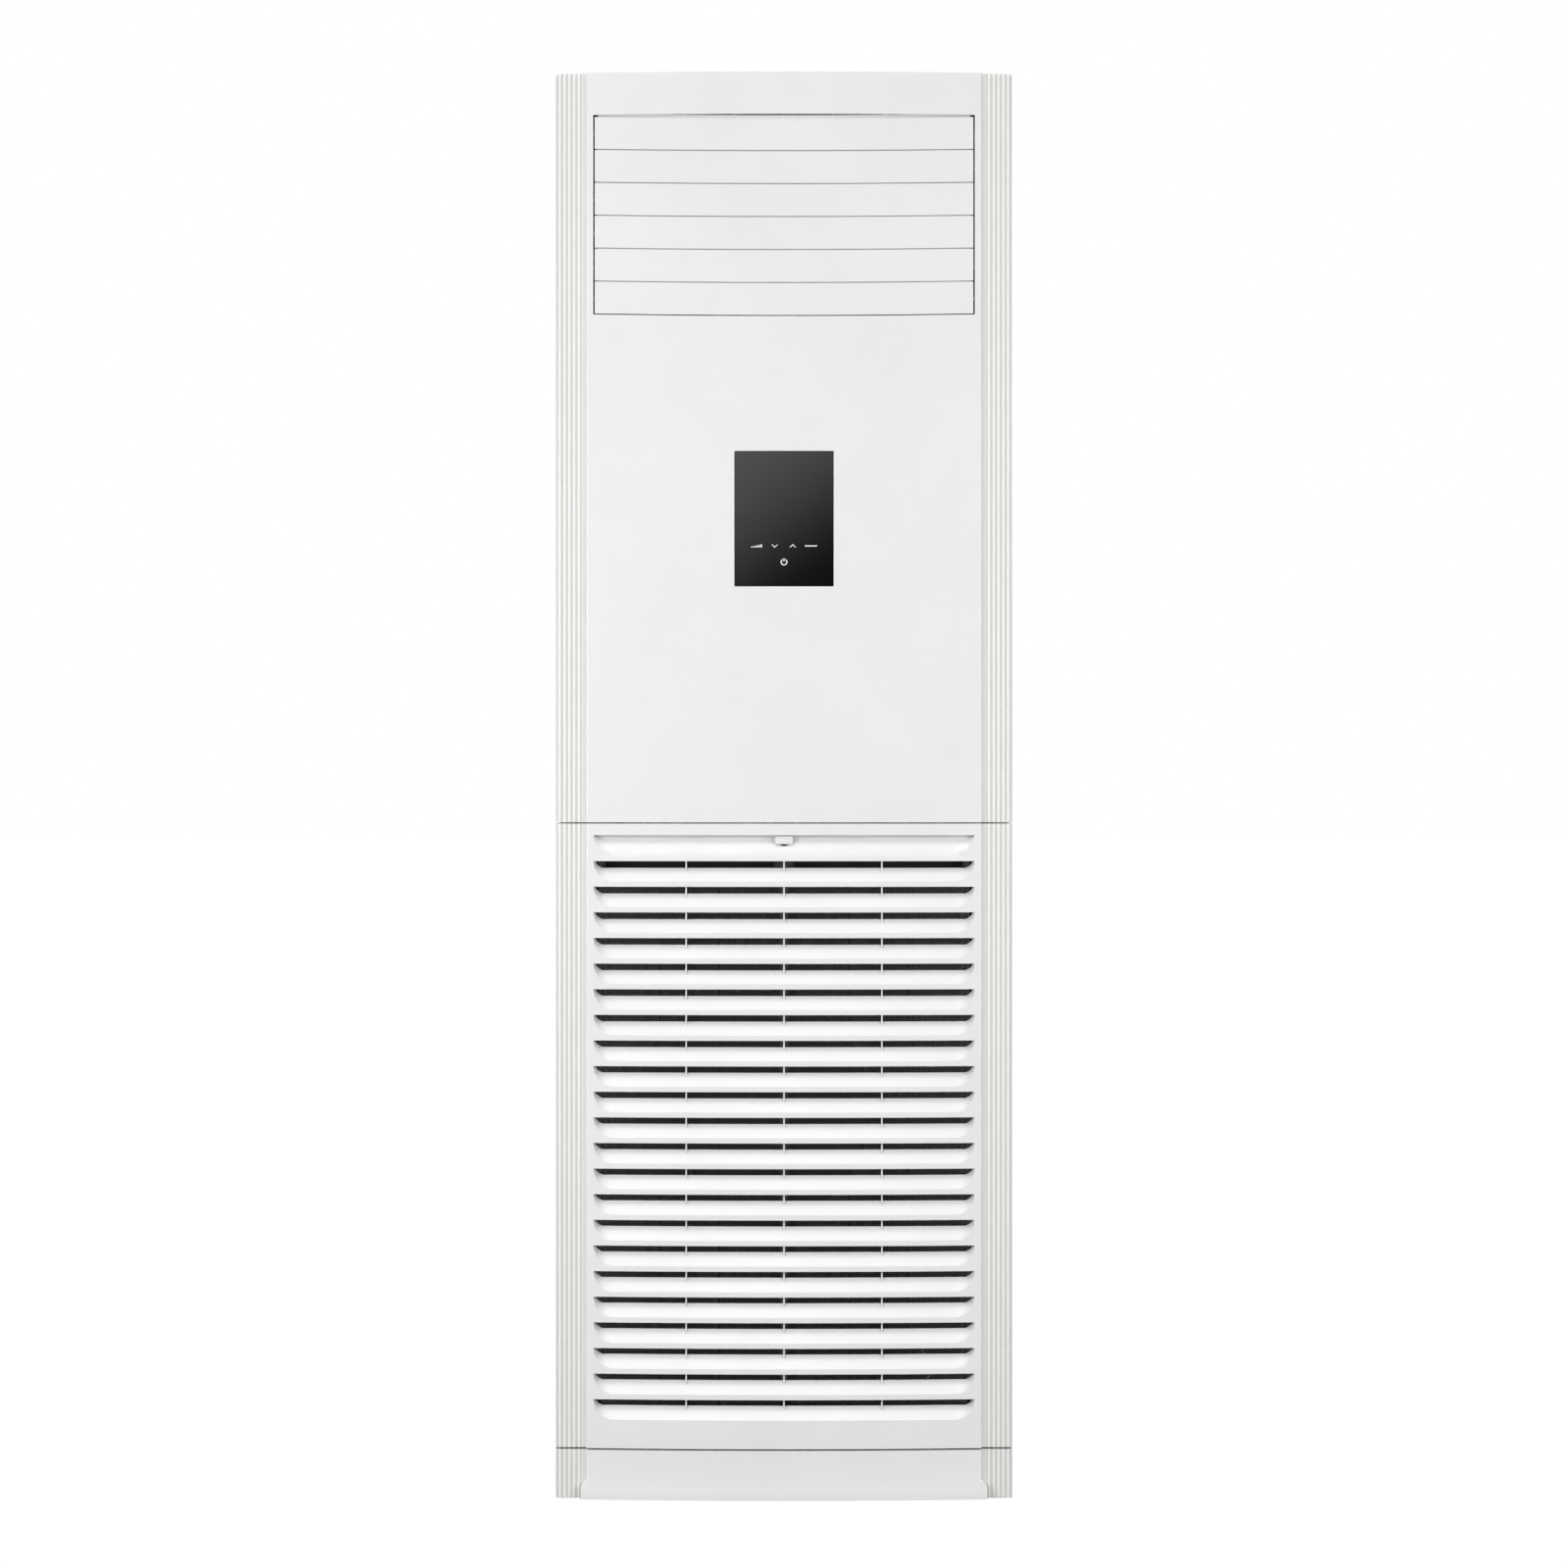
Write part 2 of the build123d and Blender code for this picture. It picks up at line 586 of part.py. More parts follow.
def rear_panel():
    """Back sheet with pressed swages, the pipe port and two wall anchor holes."""
    panel = block(-X_SIDE, X_SIDE, Y_BACK - SHEET, Y_BACK, SIDE_FOOT, SIDE_TOP)
    step = (WALL_ANCHOR_Z - REAR_SCREW_FIRST) / SWAGES
    half, inner = SWAGE_WIDTH / 2, SWAGE_WIDTH / 2 - SHEET
    face = Y_BACK - SHEET
    for number in range(SWAGES):
        z = REAR_SCREW_FIRST + (number + 0.5) * step
        low, high = z - SWAGE_HEIGHT, z + SWAGE_HEIGHT
        panel += block(-half, half, face - SWAGE_DEPTH, face, low, high)
        panel -= block(-inner, inner, Y_BACK - SWAGE_DEPTH, Y_BACK + OVER, low + SHEET, high - SHEET)
    for z in screw_heights():
        panel -= both_sides(rod("Y", SCREW_X, z, SCREW_RADIUS + SCREW_PLAY, Y_INSIDE, Y_BACK + OVER))
    panel -= rod("Y", PORT_X, PORT_Z, PORT_RADIUS, Y_INSIDE, Y_BACK + OVER)
    anchors = rod("Y", WALL_ANCHOR_X, WALL_ANCHOR_Z, WALL_ANCHOR_RADIUS, Y_INSIDE, Y_BACK + OVER)
    return panel - both_sides(anchors)


def top_cover():
    """Shallow lid over the steel sides and back."""
    y0 = Y_RETURN + LAP_GAP
    x_in = X_SIDE + GAP
    x_out = x_in + SHEET
    z0 = HEIGHT - COVER_FLANGE
    lid = block(-x_out, x_out, y0, Y_REAR, z0, HEIGHT)
    return lid - block(-x_in, x_in, y0 - OVER, Y_REAR - TOP_SHEET, z0 - OVER, HEIGHT - TOP_SHEET)


def cabinet_screws():
    """Screws that hold the rear panel to the side panels."""
    screws = []
    for z in screw_heights():
        head = rod("Y", SCREW_X, z, SCREW_HEAD, Y_BACK, Y_REAR)
        recess = rod("Y", SCREW_X, z, SCREW_RADIUS / 2, Y_REAR - SHEET, Y_REAR + OVER)
        screws.append(head + rod("Y", SCREW_X, z, SCREW_RADIUS, Y_BACK - SCREW_LENGTH, Y_BACK) - recess)
    return Compound(children=[part for screw in screws for part in (screw, mirror(screw, about=Plane.YZ))])


def centre_rail():
    """Cross rail behind the seam, with the keeper lip of the grille latch."""
    y0 = Y_PAN
    x = X_SIDE - SHEET - GAP
    rail = block(-x, x, y0, y0 + RAIL_WALL, RAIL_BOTTOM, RAIL_TOP)
    rail += block(LINER_WALL - x, x - LINER_WALL, y0, y0 + RAIL_FLANGE, RAIL_TOP - RAIL_WALL, RAIL_TOP)
    nose_front = Y_FRONT + TAB_REACH - TAB_NOSE_WALL
    lip = nose_front - KEEPER_GAP
    low = TAB_STEM_TOP + TAB_NOSE - TAB_TRAVEL + LAP_GAP
    shelf = low + TAB_NOSE - OVER
    half = KEEPER_WIDTH / 2
    rail += block(-half, half, lip - KEEPER_LIP, y0 + RAIL_WALL, shelf, shelf + RAIL_WALL)
    return rail + block(-half, half, lip - KEEPER_LIP, lip, low, shelf + RAIL_WALL)


# ---------------------------------------------------------------- front mouldings
def display_window(clearance, front, depth):
    """Block of the display glass, following the crown."""
    half = GLASS_WIDTH / 2 + clearance
    z0, z1 = GLASS_Z - GLASS_HEIGHT / 2 - clearance, GLASS_Z + GLASS_HEIGHT / 2 + clearance
    return crowned_slab(front, depth, -half, half, z0, z1)


def outlet_opening():
    """Opening of the outlet, whose lower edge hangs in the middle as the blades do."""
    half = OUTLET_WIDTH / 2
    edges = [
        ThreePointArc((-half, OUTLET_BOTTOM), (0, OUTLET_BOTTOM - LOUVRE_BOW), (half, OUTLET_BOTTOM)),
        Line((half, OUTLET_BOTTOM), (half, OUTLET_TOP)),
        Line((half, OUTLET_TOP), (-half, OUTLET_TOP)),
        Line((-half, OUTLET_TOP), (-half, OUTLET_BOTTOM)),
    ]
    return upright(make_face(edges), Y_FRONT - OVER, Y_STRIP)


def upper_front_panel():
    """Upper moulding with the outlet, the display seat and the closed top."""
    panel = front_shell(PANEL_BOTTOM, HEIGHT - RIDGE_STOP)
    panel += level(front_outline(0.0), HEIGHT - RIDGE_STOP, HEIGHT)
    panel = hollow(panel, PANEL_BOTTOM - OVER, HEIGHT - WALL)
    panel += display_window(BEZEL_WIDTH, WALL / 2, BEZEL_DEPTH)
    panel -= display_window(GAP, -OVER, OVER + GLASS_INSET + GLASS + GAP)
    panel -= display_window(-GLASS_SEAT, 0.0, 2 * BEZEL_DEPTH)
    panel -= outlet_opening()
    span = FRAME_BOTTOM - PANEL_BOTTOM
    steps = [number * span / (PANEL_RIBS - 1) for number in range(PANEL_RIBS)]
    panel += fixing_ribs([PANEL_BOTTOM + RIB_HEIGHT + step for step in steps])
    return panel - corner_tool(HEIGHT, -1)


def display_glass():
    """Black glass of the display."""
    return display_window(0.0, GLASS_INSET, GLASS)


def display_board():
    """Circuit board of the display, with its chips and four posts."""
    y0 = crown_y(BOARD_WIDTH / 2, WALL / 2 + BEZEL_DEPTH) + GAP
    half_x, half_z = BOARD_WIDTH / 2 + BEZEL_WIDTH / 2, BOARD_HEIGHT / 2 + BEZEL_WIDTH / 2
    board = block(-half_x, half_x, y0, y0 + BOARD, GLASS_Z - half_z, GLASS_Z + half_z)
    for x, z in BOARD_CHIPS:
        y1 = y0 + BOARD + BOARD_CHIP_HEIGHT
        board += block(x, x + BOARD_CHIP, y0 + BOARD, y1, GLASS_Z + z, GLASS_Z + z + BOARD_CHIP)
    return board


def scoop_section(top):
    """Cut of one scoop: level top, slope from the opening down to the panel face."""
    back = Y_FRONT + GRILLE_DEPTH + OVER
    return [
        (Y_FRONT - OVER, top),
        (Y_FRONT - OVER, top - SCOOP_HEIGHT),
        (Y_FRONT, top - SCOOP_HEIGHT),
        (Y_FRONT + SCOOP_DEPTH, top - SLOT_OPENING),
        (back, top - SLOT_OPENING),
        (back, top),
    ]


def crowned_cut(points, angle):
    """Section in Y and Z, turned about the upright axis of the crown to both sides."""
    face = make_face(Polyline(*points, close=True))
    turned = Pos(0, Y_CENTRE, 0) * Rot(0, 0, -angle) * Pos(0, -Y_CENTRE, 0) * (Plane.YZ * face)
    return revolve(turned, axis=Axis((0, Y_CENTRE, 0), (0, 0, 1)), revolution_arc=2 * angle)


def bowl_end(height, depth, opening, part, through):
    """Right end of a scoop, drawn at the origin: front outline in X and Z, depth along +Y.

    The first part degrees of the outline run into the corner of the opening.
    """

    def rim(angle, y):
        return (SCOOP_RADIUS * cos(radians(angle)), y, -height * sin(radians(angle)))

    def front_wire(y):
        split = rim(part, y)
        return Wire(
            [
                Line((0, y, 0), rim(0, y)),
                ThreePointArc(rim(0, y), rim(part / 2, y), split),
                ThreePointArc(split, rim((part + 90) / 2, y), (0, y, -height)),
                Line((0, y, -height), (0, y, 0)),
            ]
        )

    def inner_wire(y):
        end = SCOOP_RADIUS - SLOT_END_INSET
        foot = end - SLOT_CORNER
        middle = (foot + SLOT_CORNER * DIAGONAL, y, -opening * DIAGONAL)
        return Wire(
            [
                Line((0, y, 0), (end, y, 0)),
                ThreePointArc((end, y, 0), middle, (foot, y, -opening)),
                Line((foot, y, -opening), (0, y, -opening)),
                Line((0, y, -opening), (0, y, 0)),
            ]
        )

    mouth = extrude(Face(front_wire(0)), amount=OVER, dir=(0, -1, 0))
    tool = mouth + Solid.make_loft([front_wire(0), inner_wire(depth)], ruled=True)
    if through:
        tool += extrude(Face(inner_wire(depth)), amount=through, dir=(0, 1, 0))
    return tool


def scoop_angle():
    """Angle on the crown where the straight part of a scoop ends."""
    return degrees(asin((SLOT_WIDTH / 2 - SCOOP_RADIUS) / PANEL_RADIUS))


def place_ends(end, top):
    """Set a bowl end on the crown at both ends of a scoop."""
    angle = scoop_angle()
    right = Pos(0, Y_CENTRE, 0) * Rot(0, 0, angle) * Pos(0, -PANEL_RADIUS, top) * end
    return right, mirror(right, about=Plane.YZ)


def scoop_tool():
    """Cut of the topmost scoop, with both of its rounded ends."""
    middle = crowned_cut(scoop_section(FIRST_SLOT_TOP), scoop_angle())
    through = GRILLE_DEPTH + OVER - SCOOP_DEPTH
    end = bowl_end(SCOOP_HEIGHT, SCOOP_DEPTH, SLOT_OPENING, SCOOP_SPLIT, through)
    right, left = place_ends(end, FIRST_SLOT_TOP)
    return middle + right + left


def relief_tool():
    """Cut that hollows the back of the bar above a scoop's slope, leaving a wall."""
    top = FIRST_SLOT_TOP
    slope = (SCOOP_HEIGHT - SLOT_OPENING) / SCOOP_DEPTH
    back = GRILLE_DEPTH + OVER
    reach = top - SLOT_PITCH + BACK_WALL
    drop = SLOT_OPENING + 2 * BACK_WALL
    front = Y_FRONT + BACK_WALL
    points = [
        (front, reach),
        (front, top - SCOOP_HEIGHT + BACK_WALL / 2 - BACK_WALL * slope / 2),
        (Y_FRONT + SCOOP_DEPTH, top - drop),
        (Y_FRONT + back, top - drop),
        (Y_FRONT + back, reach),
    ]
    return crowned_cut(points, scoop_angle())


def recess_tool():
    """Blind finger recess at the top of the grille, fading out at its foot."""
    top = RECESS_TOP
    points = [
        (Y_FRONT - OVER, top),
        (Y_FRONT - OVER, top - RECESS_HEIGHT),
        (Y_FRONT, top - RECESS_HEIGHT),
        (Y_FRONT + SCOOP_DEPTH, top - RECESS_LIP),
        (Y_FRONT + SCOOP_DEPTH, top),
    ]
    end = bowl_end(RECESS_HEIGHT, SCOOP_DEPTH, RECESS_LIP, RECESS_SPLIT, 0.0)
    right, left = place_ends(end, top)
    return crowned_cut(points, scoop_angle()) + right + left


def filter_channels():
    """Rails on the back of the grille that guide the two filters."""
    back = FILTER_BACK + CHANNEL_GAP
    z0, z1 = CHANNEL_BOTTOM, FIRST_SLOT_TOP
    x_wall = FILTER_X_OUT + CHANNEL_GAP
    root = Y_FRONT + GRILLE_DEPTH
    outer_root = crown_y(x_wall, GRILLE_DEPTH) - OVER
    outer = block(x_wall, x_wall + CHANNEL_WALL, outer_root, back + CHANNEL_WALL, z0, z1)
    outer += block(x_wall - CHANNEL_LIP, x_wall + CHANNEL_WALL, back, back + CHANNEL_WALL, z0, z1)
    x_mid = FILTER_X_IN - CHANNEL_GAP
    middle = block(-x_mid / 2, x_mid / 2, root - OVER, back + CHANNEL_WALL, z0, z1)
    middle += block(-x_mid - CHANNEL_LIP, x_mid + CHANNEL_LIP, back, back + CHANNEL_WALL, z0, z1)
    ledge = block(
        FILTER_X_IN, FILTER_X_IN + FILTER_GRIP, root - OVER, back + CHANNEL_WALL,
        FILTER_BOTTOM - GAP - CHANNEL_WALL, FILTER_BOTTOM - GAP,
    )
    outer_ledge = block(
        FILTER_X_OUT - FILTER_GRIP, FILTER_X_OUT, root - PANEL_SAG / 4, back + CHANNEL_WALL,
        FILTER_BOTTOM - GAP - CHANNEL_WALL, FILTER_BOTTOM - GAP,
    )
    return both_sides(outer) + middle + both_sides(ledge) + both_sides(outer_ledge)


def hinge_lugs():
    """Hooks at the foot of the grille that hang on the hinge pins."""
    x0, x1 = GRILLE_LUG_X, GRILLE_LUG_X + GRILLE_LUG
    y, z = GRILLE_HINGE_Y, GRILLE_HINGE_Z
    lug = rod("X", y, z, GRILLE_LUG_RADIUS, x0, x1)
    lug += block(x0, x1, Y_STRIP + WALL / 2, y, z - GRILLE_LUG_RADIUS, z + GRILLE_LUG_RADIUS)
    lug -= rod("X", y, z, PIN_RADIUS + PIN_PLAY, x0 - OVER, x1 + OVER)
    lug -= block(x0 - OVER, x1 + OVER, y - HOOK_MOUTH, y + HOOK_MOUTH, z - 2 * GRILLE_LUG_RADIUS, z)
    return both_sides(lug)


def thumb_slot():
    """Slot of the latch stem; its curved foot shows below the tab as a thumb dimple."""
    half = THUMB_WIDTH / 2
    low = TAB_STEM_TOP - TAB_STEM_HEIGHT - TAB_TRAVEL - THUMB_DROP
    side, top = low + THUMB_SAG, TAB_STEM_TOP + LAP_GAP
    edges = [
        ThreePointArc((-half, side), (0, low), (half, side)),
        Line((half, side), (half, top)),
        Line((half, top), (-half, top)),
        Line((-half, top), (-half, side)),
    ]
    return upright(make_face(edges), Y_FRONT, Y_FRONT + GRILLE_DEPTH + OVER)


def intake_grille():
    """Lower moulding with its scooped slots, the finger recess and the filter channels."""
    shell = hollow(front_shell(GRILLE_BOTTOM, GRILLE_TOP), GRILLE_BOTTOM - OVER, GRILLE_TOP + OVER)
    half = SLOT_WIDTH / 2 + GRILLE_MARGIN
    low = FIRST_SLOT_TOP - (SLOTS - 1) * SLOT_PITCH - SCOOP_HEIGHT - GRILLE_MARGIN
    top = RECESS_TOP + GRILLE_MARGIN
    grille = shell + crowned_slab(WALL / 2, GRILLE_DEPTH - WALL / 2, -half, half, low, top)
    scoop, relief = scoop_tool(), relief_tool()
    for number in range(SLOTS):
        grille -= Pos(0, 0, -number * SLOT_PITCH) * scoop
    for number in range(SLOTS - 1):
        grille -= Pos(0, 0, -number * SLOT_PITCH) * relief
    for x in GRILLE_RIBS:
        x0, x1 = x - GRILLE_RIB_WALL / 2, x + GRILLE_RIB_WALL / 2
        depth = GRILLE_DEPTH - GRILLE_RIB_DEPTH
        grille += crowned_slab(GRILLE_RIB_DEPTH, depth, x0, x1, low, FIRST_SLOT_TOP + OVER)
    grille -= recess_tool()
    grille -= thumb_slot()
    ribs = fixing_ribs([GRILLE_TOP - 2 * RIB_HEIGHT])
    return grille + filter_channels() + hinge_lugs() + ribs


def latch_tab():
    """Sprung tab in the recess; its nose holds the grille behind the keeper."""
    y0 = Y_FRONT + TAB_INSET
    outline = Pos(0, TAB_TOP - TAB_HEIGHT / 2) * RectangleRounded(TAB_WIDTH, TAB_HEIGHT, TAB_CORNER)
    tab = upright(outline, y0, y0 + TAB_WALL)
    half = TAB_STEM / 2
    rear = Y_FRONT + TAB_REACH
    tab += block(-half, half, y0, rear, TAB_STEM_TOP - TAB_STEM_HEIGHT, TAB_STEM_TOP)
    return tab + block(-half, half, rear - TAB_NOSE_WALL, rear, TAB_STEM_TOP, TAB_STEM_TOP + TAB_NOSE)


def filter_screen():
    """Right filter: frame, bars, net and a grip at the top."""
    x0, x1 = FILTER_X_IN, FILTER_X_OUT
    z0, z1 = FILTER_BOTTOM, FILTER_BOTTOM + FILTER_HEIGHT
    y0, y1 = FILTER_FRONT, FILTER_BACK
    screen = block(x0, x1, y0, y1, z0, z1)
    inside = [x0 + FILTER_EDGE, x1 - FILTER_EDGE, y0 - OVER, y1 + OVER, z0 + FILTER_EDGE, z1 - FILTER_EDGE]
    screen -= block(*inside)
    mid = (y0 + y1) / 2
    screen += block(x0 + OVER, x1 - OVER, mid - FILTER_NET / 2, mid + FILTER_NET / 2, z0 + OVER, z1 - OVER)
    for number in range(FILTER_BARS_UP):
        x = x0 + (number + 1) * (x1 - x0) / (FILTER_BARS_UP + 1)
        screen += block(x - FILTER_BAR / 2, x + FILTER_BAR / 2, y0, y1, z0 + OVER, z1 - OVER)
    for number in range(FILTER_BARS_ACROSS):
        z = z0 + (number + 1) * FILTER_HEIGHT / (FILTER_BARS_ACROSS + 1)
        screen += block(x0 + OVER, x1 - OVER, y0, y1, z - FILTER_BAR / 2, z + FILTER_BAR / 2)
    middle = (x0 + x1) / 2
    grip = FILTER_GRIP / 2
    return screen + block(middle - grip, middle + grip, y0, y1, z1 - OVER, z1 + FILTER_GRIP_HEIGHT)


def hinge_brackets():
    """Steel brackets on the folded edges of the side panels, with the hinge pins."""
    x0 = GRILLE_LUG_X + GRILLE_LUG + HINGE_PLATE
    y, z = GRILLE_HINGE_Y, GRILLE_HINGE_Z
    half = HINGE_FOOT / 2
    z0, z1 = z - GRILLE_LUG_RADIUS, z + GRILLE_LUG_RADIUS
    arm = block(x0, x0 + HINGE_PLATE, y - PIN_RADIUS, Y_FLANGE, z0, z1)
    foot = block(X_SIDE - FLANGE, X_SIDE - OVER, Y_FLANGE - HINGE_PLATE, Y_FLANGE, z - half, z + half)
    pin = rod("X", y, z, PIN_RADIUS, GRILLE_LUG_X - HINGE_PIN_END, x0 + HINGE_PLATE)
    right = arm + foot + pin
    return Compound(children=[right, mirror(right, about=Plane.YZ)])


def plinth():
    """Base moulding with its flared skirt and two tabs to the base pan."""

    def bulge(half, crown):
        y_side = crown + (half**2) / (2 * PANEL_RADIUS)
        return make_face(
            [
                ThreePointArc((-half, y_side), (0, crown), (half, y_side)),
                Line((half, y_side), (half, Y_STRIP + OVER)),
                Line((half, Y_STRIP + OVER), (-half, Y_STRIP + OVER)),
                Line((-half, Y_STRIP + OVER), (-half, y_side)),
            ]
        )

    skirt = bulge(X_PANEL + SKIRT_SIDE, Y_SKIRT)
    upper = bulge(X_PANEL - WALL / 2, Y_FRONT + WALL / 2)
    band = level(skirt, 0, SKIRT_HEIGHT)
    slope_top = SKIRT_HEIGHT + SKIRT_SLOPE
    slope = loft([Pos(0, 0, SKIRT_HEIGHT) * skirt, Pos(0, 0, slope_top) * upper], ruled=True)
    body = hollow(front_shell(0, PLINTH_TOP) + band + slope, -1, PLINTH_TOP + OVER)
    half = PLINTH_TAB_WIDTH / 2
    for x in (-PLINTH_TAB_X, PLINTH_TAB_X):
        y0 = crown_y(PLINTH_TAB_X, WALL / 2)
        body += block(x - half, x + half, y0, Y_PAN, PLINTH_TAB_LOW, PLINTH_TAB_LOW + RIB_HEIGHT)
    return body


# ---------------------------------------------------------------- outlet
def louvre_axis_z(number):
    """Height of a louvre's hinge; louvre 1 is the top one."""
    bottom = OUTLET_BOTTOM + LOUVRE_GAP + (LOUVRES - number) * LOUVRE_PITCH
    return bottom + LOUVRE_HEIGHT / 2


def bowed_strip(z0, z1, half):
    """Prism seen from the front as a strip whose edges hang lower in the middle."""
    face = make_face(
        [
            ThreePointArc((-half, z0), (0, z0 - LOUVRE_BOW), (half, z0)),
            Line((half, z0), (half, z1)),
            ThreePointArc((half, z1), (0, z1 - LOUVRE_BOW), (-half, z1)),
            Line((-half, z1), (-half, z0)),
        ]
    )
    return upright(face, Y_FRONT - OVER, Y_STRIP + HINGE_BEHIND)


def louvre(number):
    """Crowned blade with its tongue, end lugs, pins and crank."""
    z = louvre_axis_z(number)
    z0, z1 = z - LOUVRE_HEIGHT / 2, z + LOUVRE_HEIGHT / 2
    half = LOUVRE_HALF
    span = (z0 - 2 * LOUVRE_BOW, z1 + TONGUE + LOUVRE_BOW)
    blade = crowned_slab(LOUVRE_INSET, LOUVRE_WALL, -half, half, *span) & bowed_strip(z0, z1, half)
    short = half - TONGUE_SHORTER
    back = LOUVRE_INSET + LOUVRE_WALL
    depth = LOUVRE_WALL / 2 + TONGUE_GAP + TONGUE_WALL
    step = crowned_slab(back - LOUVRE_WALL / 2, depth, -short, short, *span)
    blade += step & bowed_strip(z1 - TONGUE_OVERLAP, z1, short)
    tongue = crowned_slab(back + TONGUE_GAP, TONGUE_WALL, -short, short, *span)
    blade += tongue & bowed_strip(z1 - TONGUE_OVERLAP, z1 + TONGUE, short)
    lug_front = crown_y(half, LOUVRE_INSET + LOUVRE_WALL / 2)
    lug = rod("X", LOUVRE_Y, z, LUG_RADIUS, half - LUG, half)
    lug += block(half - LUG, half, lug_front, LOUVRE_Y, z - LUG_RADIUS, z + LUG_RADIUS)
    blade += both_sides(lug)
    driven = STEPPER_HOLE_DEPTH - OVER if number == 1 else 0.0
    blade += rod("X", LOUVRE_Y, z, PIN_RADIUS, half - OVER, CHEEK_OUT + BUSH_FLANGE + driven)
    blade += rod("X", LOUVRE_Y, z, PIN_RADIUS, -CRANK_X - CRANK_WALL, 1 - half)
    crank_z = z + CRANK_UP
    crank = rod("X", LOUVRE_Y, z, CRANK_HUB, -CRANK_X - CRANK_WALL, -CRANK_X)
    crank += rod("X", CRANK_Y, crank_z, CRANK_EYE, -CRANK_X - CRANK_WALL, -CRANK_X)
    arm = Pos(-CRANK_X - CRANK_WALL / 2, (LOUVRE_Y + CRANK_Y) / 2, (z + crank_z) / 2)
    crank += arm * Rot(CRANK_ANGLE, 0, 0) * Box(CRANK_WALL, CRANK, 2 * CRANK_EYE)
    pin_end = CRANK_X + CRANK_WALL + CRANK_PIN_LENGTH
    return blade + crank + rod("X", CRANK_Y, crank_z, CRANK_PIN_RADIUS, -pin_end, -CRANK_X)


def louvre_link_bar():
    """Bar that joins the six cranks."""
    x1 = -(CRANK_X + CRANK_WALL + CRANK_GAP)
    x0 = x1 - LINK_WALL
    z0, z1 = louvre_axis_z(LOUVRES) + CRANK_UP, louvre_axis_z(1) + CRANK_UP
    half = LINK_WIDTH / 2
    bar = block(x0, x1, CRANK_Y - half, CRANK_Y + half, z0 - LINK_END, z1 + LINK_END)
    for number in range(1, LOUVRES + 1):
        hole = CRANK_PIN_RADIUS + LINK_PLAY
        bar -= rod("X", CRANK_Y, louvre_axis_z(number) + CRANK_UP, hole, x0 - OVER, x1 + OVER)
    return bar


def louvre_bushes():
    """Bushes of the louvre pins, in both cheeks of the outlet frame."""
    bushes = []
    for number in range(1, LOUVRES + 1):
        z = louvre_axis_z(number)
        bush = rod("X", LOUVRE_Y, z, BUSH_RADIUS, CHEEK_X, CHEEK_OUT)
        bush += rod("X", LOUVRE_Y, z, BUSH_FLANGE_RADIUS, CHEEK_OUT, CHEEK_OUT + BUSH_FLANGE)
        bush -= rod("X", LOUVRE_Y, z, PIN_RADIUS + PIN_PLAY, CHEEK_X - OVER, CHEEK_OUT + BUSH_FLANGE + OVER)
        bushes += [bush, mirror(bush, about=Plane.YZ)]
    return Compound(children=bushes)


def vane_x(number):
    """Place of a vane's pivot; vane 1 is the leftmost."""
    return (number - (VANES + 1) / 2) * VANE_PITCH


def outlet_frame():
    """Duct frame that carries the louvres, the vanes and their motors."""
    y1 = FRAME_FRONT + FRAME_DEPTH
    z0, z1 = FRAME_BOTTOM + FRAME_WALL, FRAME_TOP - FRAME_WALL
    frame = block(-CHEEK_OUT, CHEEK_OUT, FRAME_FRONT, y1, FRAME_BOTTOM, FRAME_TOP)
    frame -= block(-CHEEK_X, CHEEK_X, FRAME_FRONT - OVER, y1 + OVER, z0, z1)
    for number in range(1, LOUVRES + 1):
        z = louvre_axis_z(number)
        slot = rod("X", LOUVRE_Y, z, BUSH_RADIUS, CHEEK_X - OVER, CHEEK_OUT + OVER)
        low, high = z - BUSH_RADIUS, z + BUSH_RADIUS
        slot += block(CHEEK_X - OVER, CHEEK_OUT + OVER, FRAME_FRONT - OVER, LOUVRE_Y, low, high)
        frame -= both_sides(slot)
    hole = VANE_PIVOT_RADIUS + PIN_PLAY
    for number in range(1, VANES + 1):
        frame -= rod("Z", vane_x(number), VANE_Y, hole, FRAME_BOTTOM - OVER, FRAME_TOP + OVER)
    y0 = Y_PAN
    ears = []
    for z in (FRAME_BOTTOM + EAR_INSET, FRAME_TOP - EAR_INSET - EAR_HEIGHT):
        ear = block(CHEEK_OUT - OVER, CHEEK_OUT + EAR_WIDTH, y0, y0 + FRAME_WALL, z, z + EAR_HEIGHT)
        hole = (X_SIDE - FLANGE / 2, z + EAR_HEIGHT / 2, SCREW_HOLE)
        ears.append(ear - rod("Y", *hole, y0 - OVER, y0 + FRAME_WALL + OVER))
    return frame + both_sides(joined(ears))


def stepper(axis, centre, pin, pin_radius, face, outwards):
    """Small geared motor with two ears, and the hole that takes the driven pin."""
    u, v = centre
    body = rod(axis, u, v, STEPPER_RADIUS, face, face + outwards * STEPPER_LENGTH)
    plate = face + outwards * STEPPER_EAR_WALL
    for side in (-STEPPER_EAR, STEPPER_EAR):
        ear_u, ear_v = (u, v + side) if axis == "X" else (u + side, v)
        body += rod(axis, ear_u, ear_v, STEPPER_EAR_RADIUS, face, plate)
        body -= rod(axis, ear_u, ear_v, SCREW_HOLE, face - outwards, plate + outwards)
    depth = face + outwards * STEPPER_HOLE_DEPTH
    return body - rod(axis, *pin, pin_radius + PIN_PLAY, face - outwards, depth)


def louvre_motor():
    """Motor on the right cheek, in line with the top louvre."""
    z = louvre_axis_z(1)
    centre = (LOUVRE_Y + STEPPER_RADIUS / 2, z)
    return stepper("X", centre, (LOUVRE_Y, z), PIN_RADIUS, CHEEK_OUT + BUSH_FLANGE + GAP, 1)


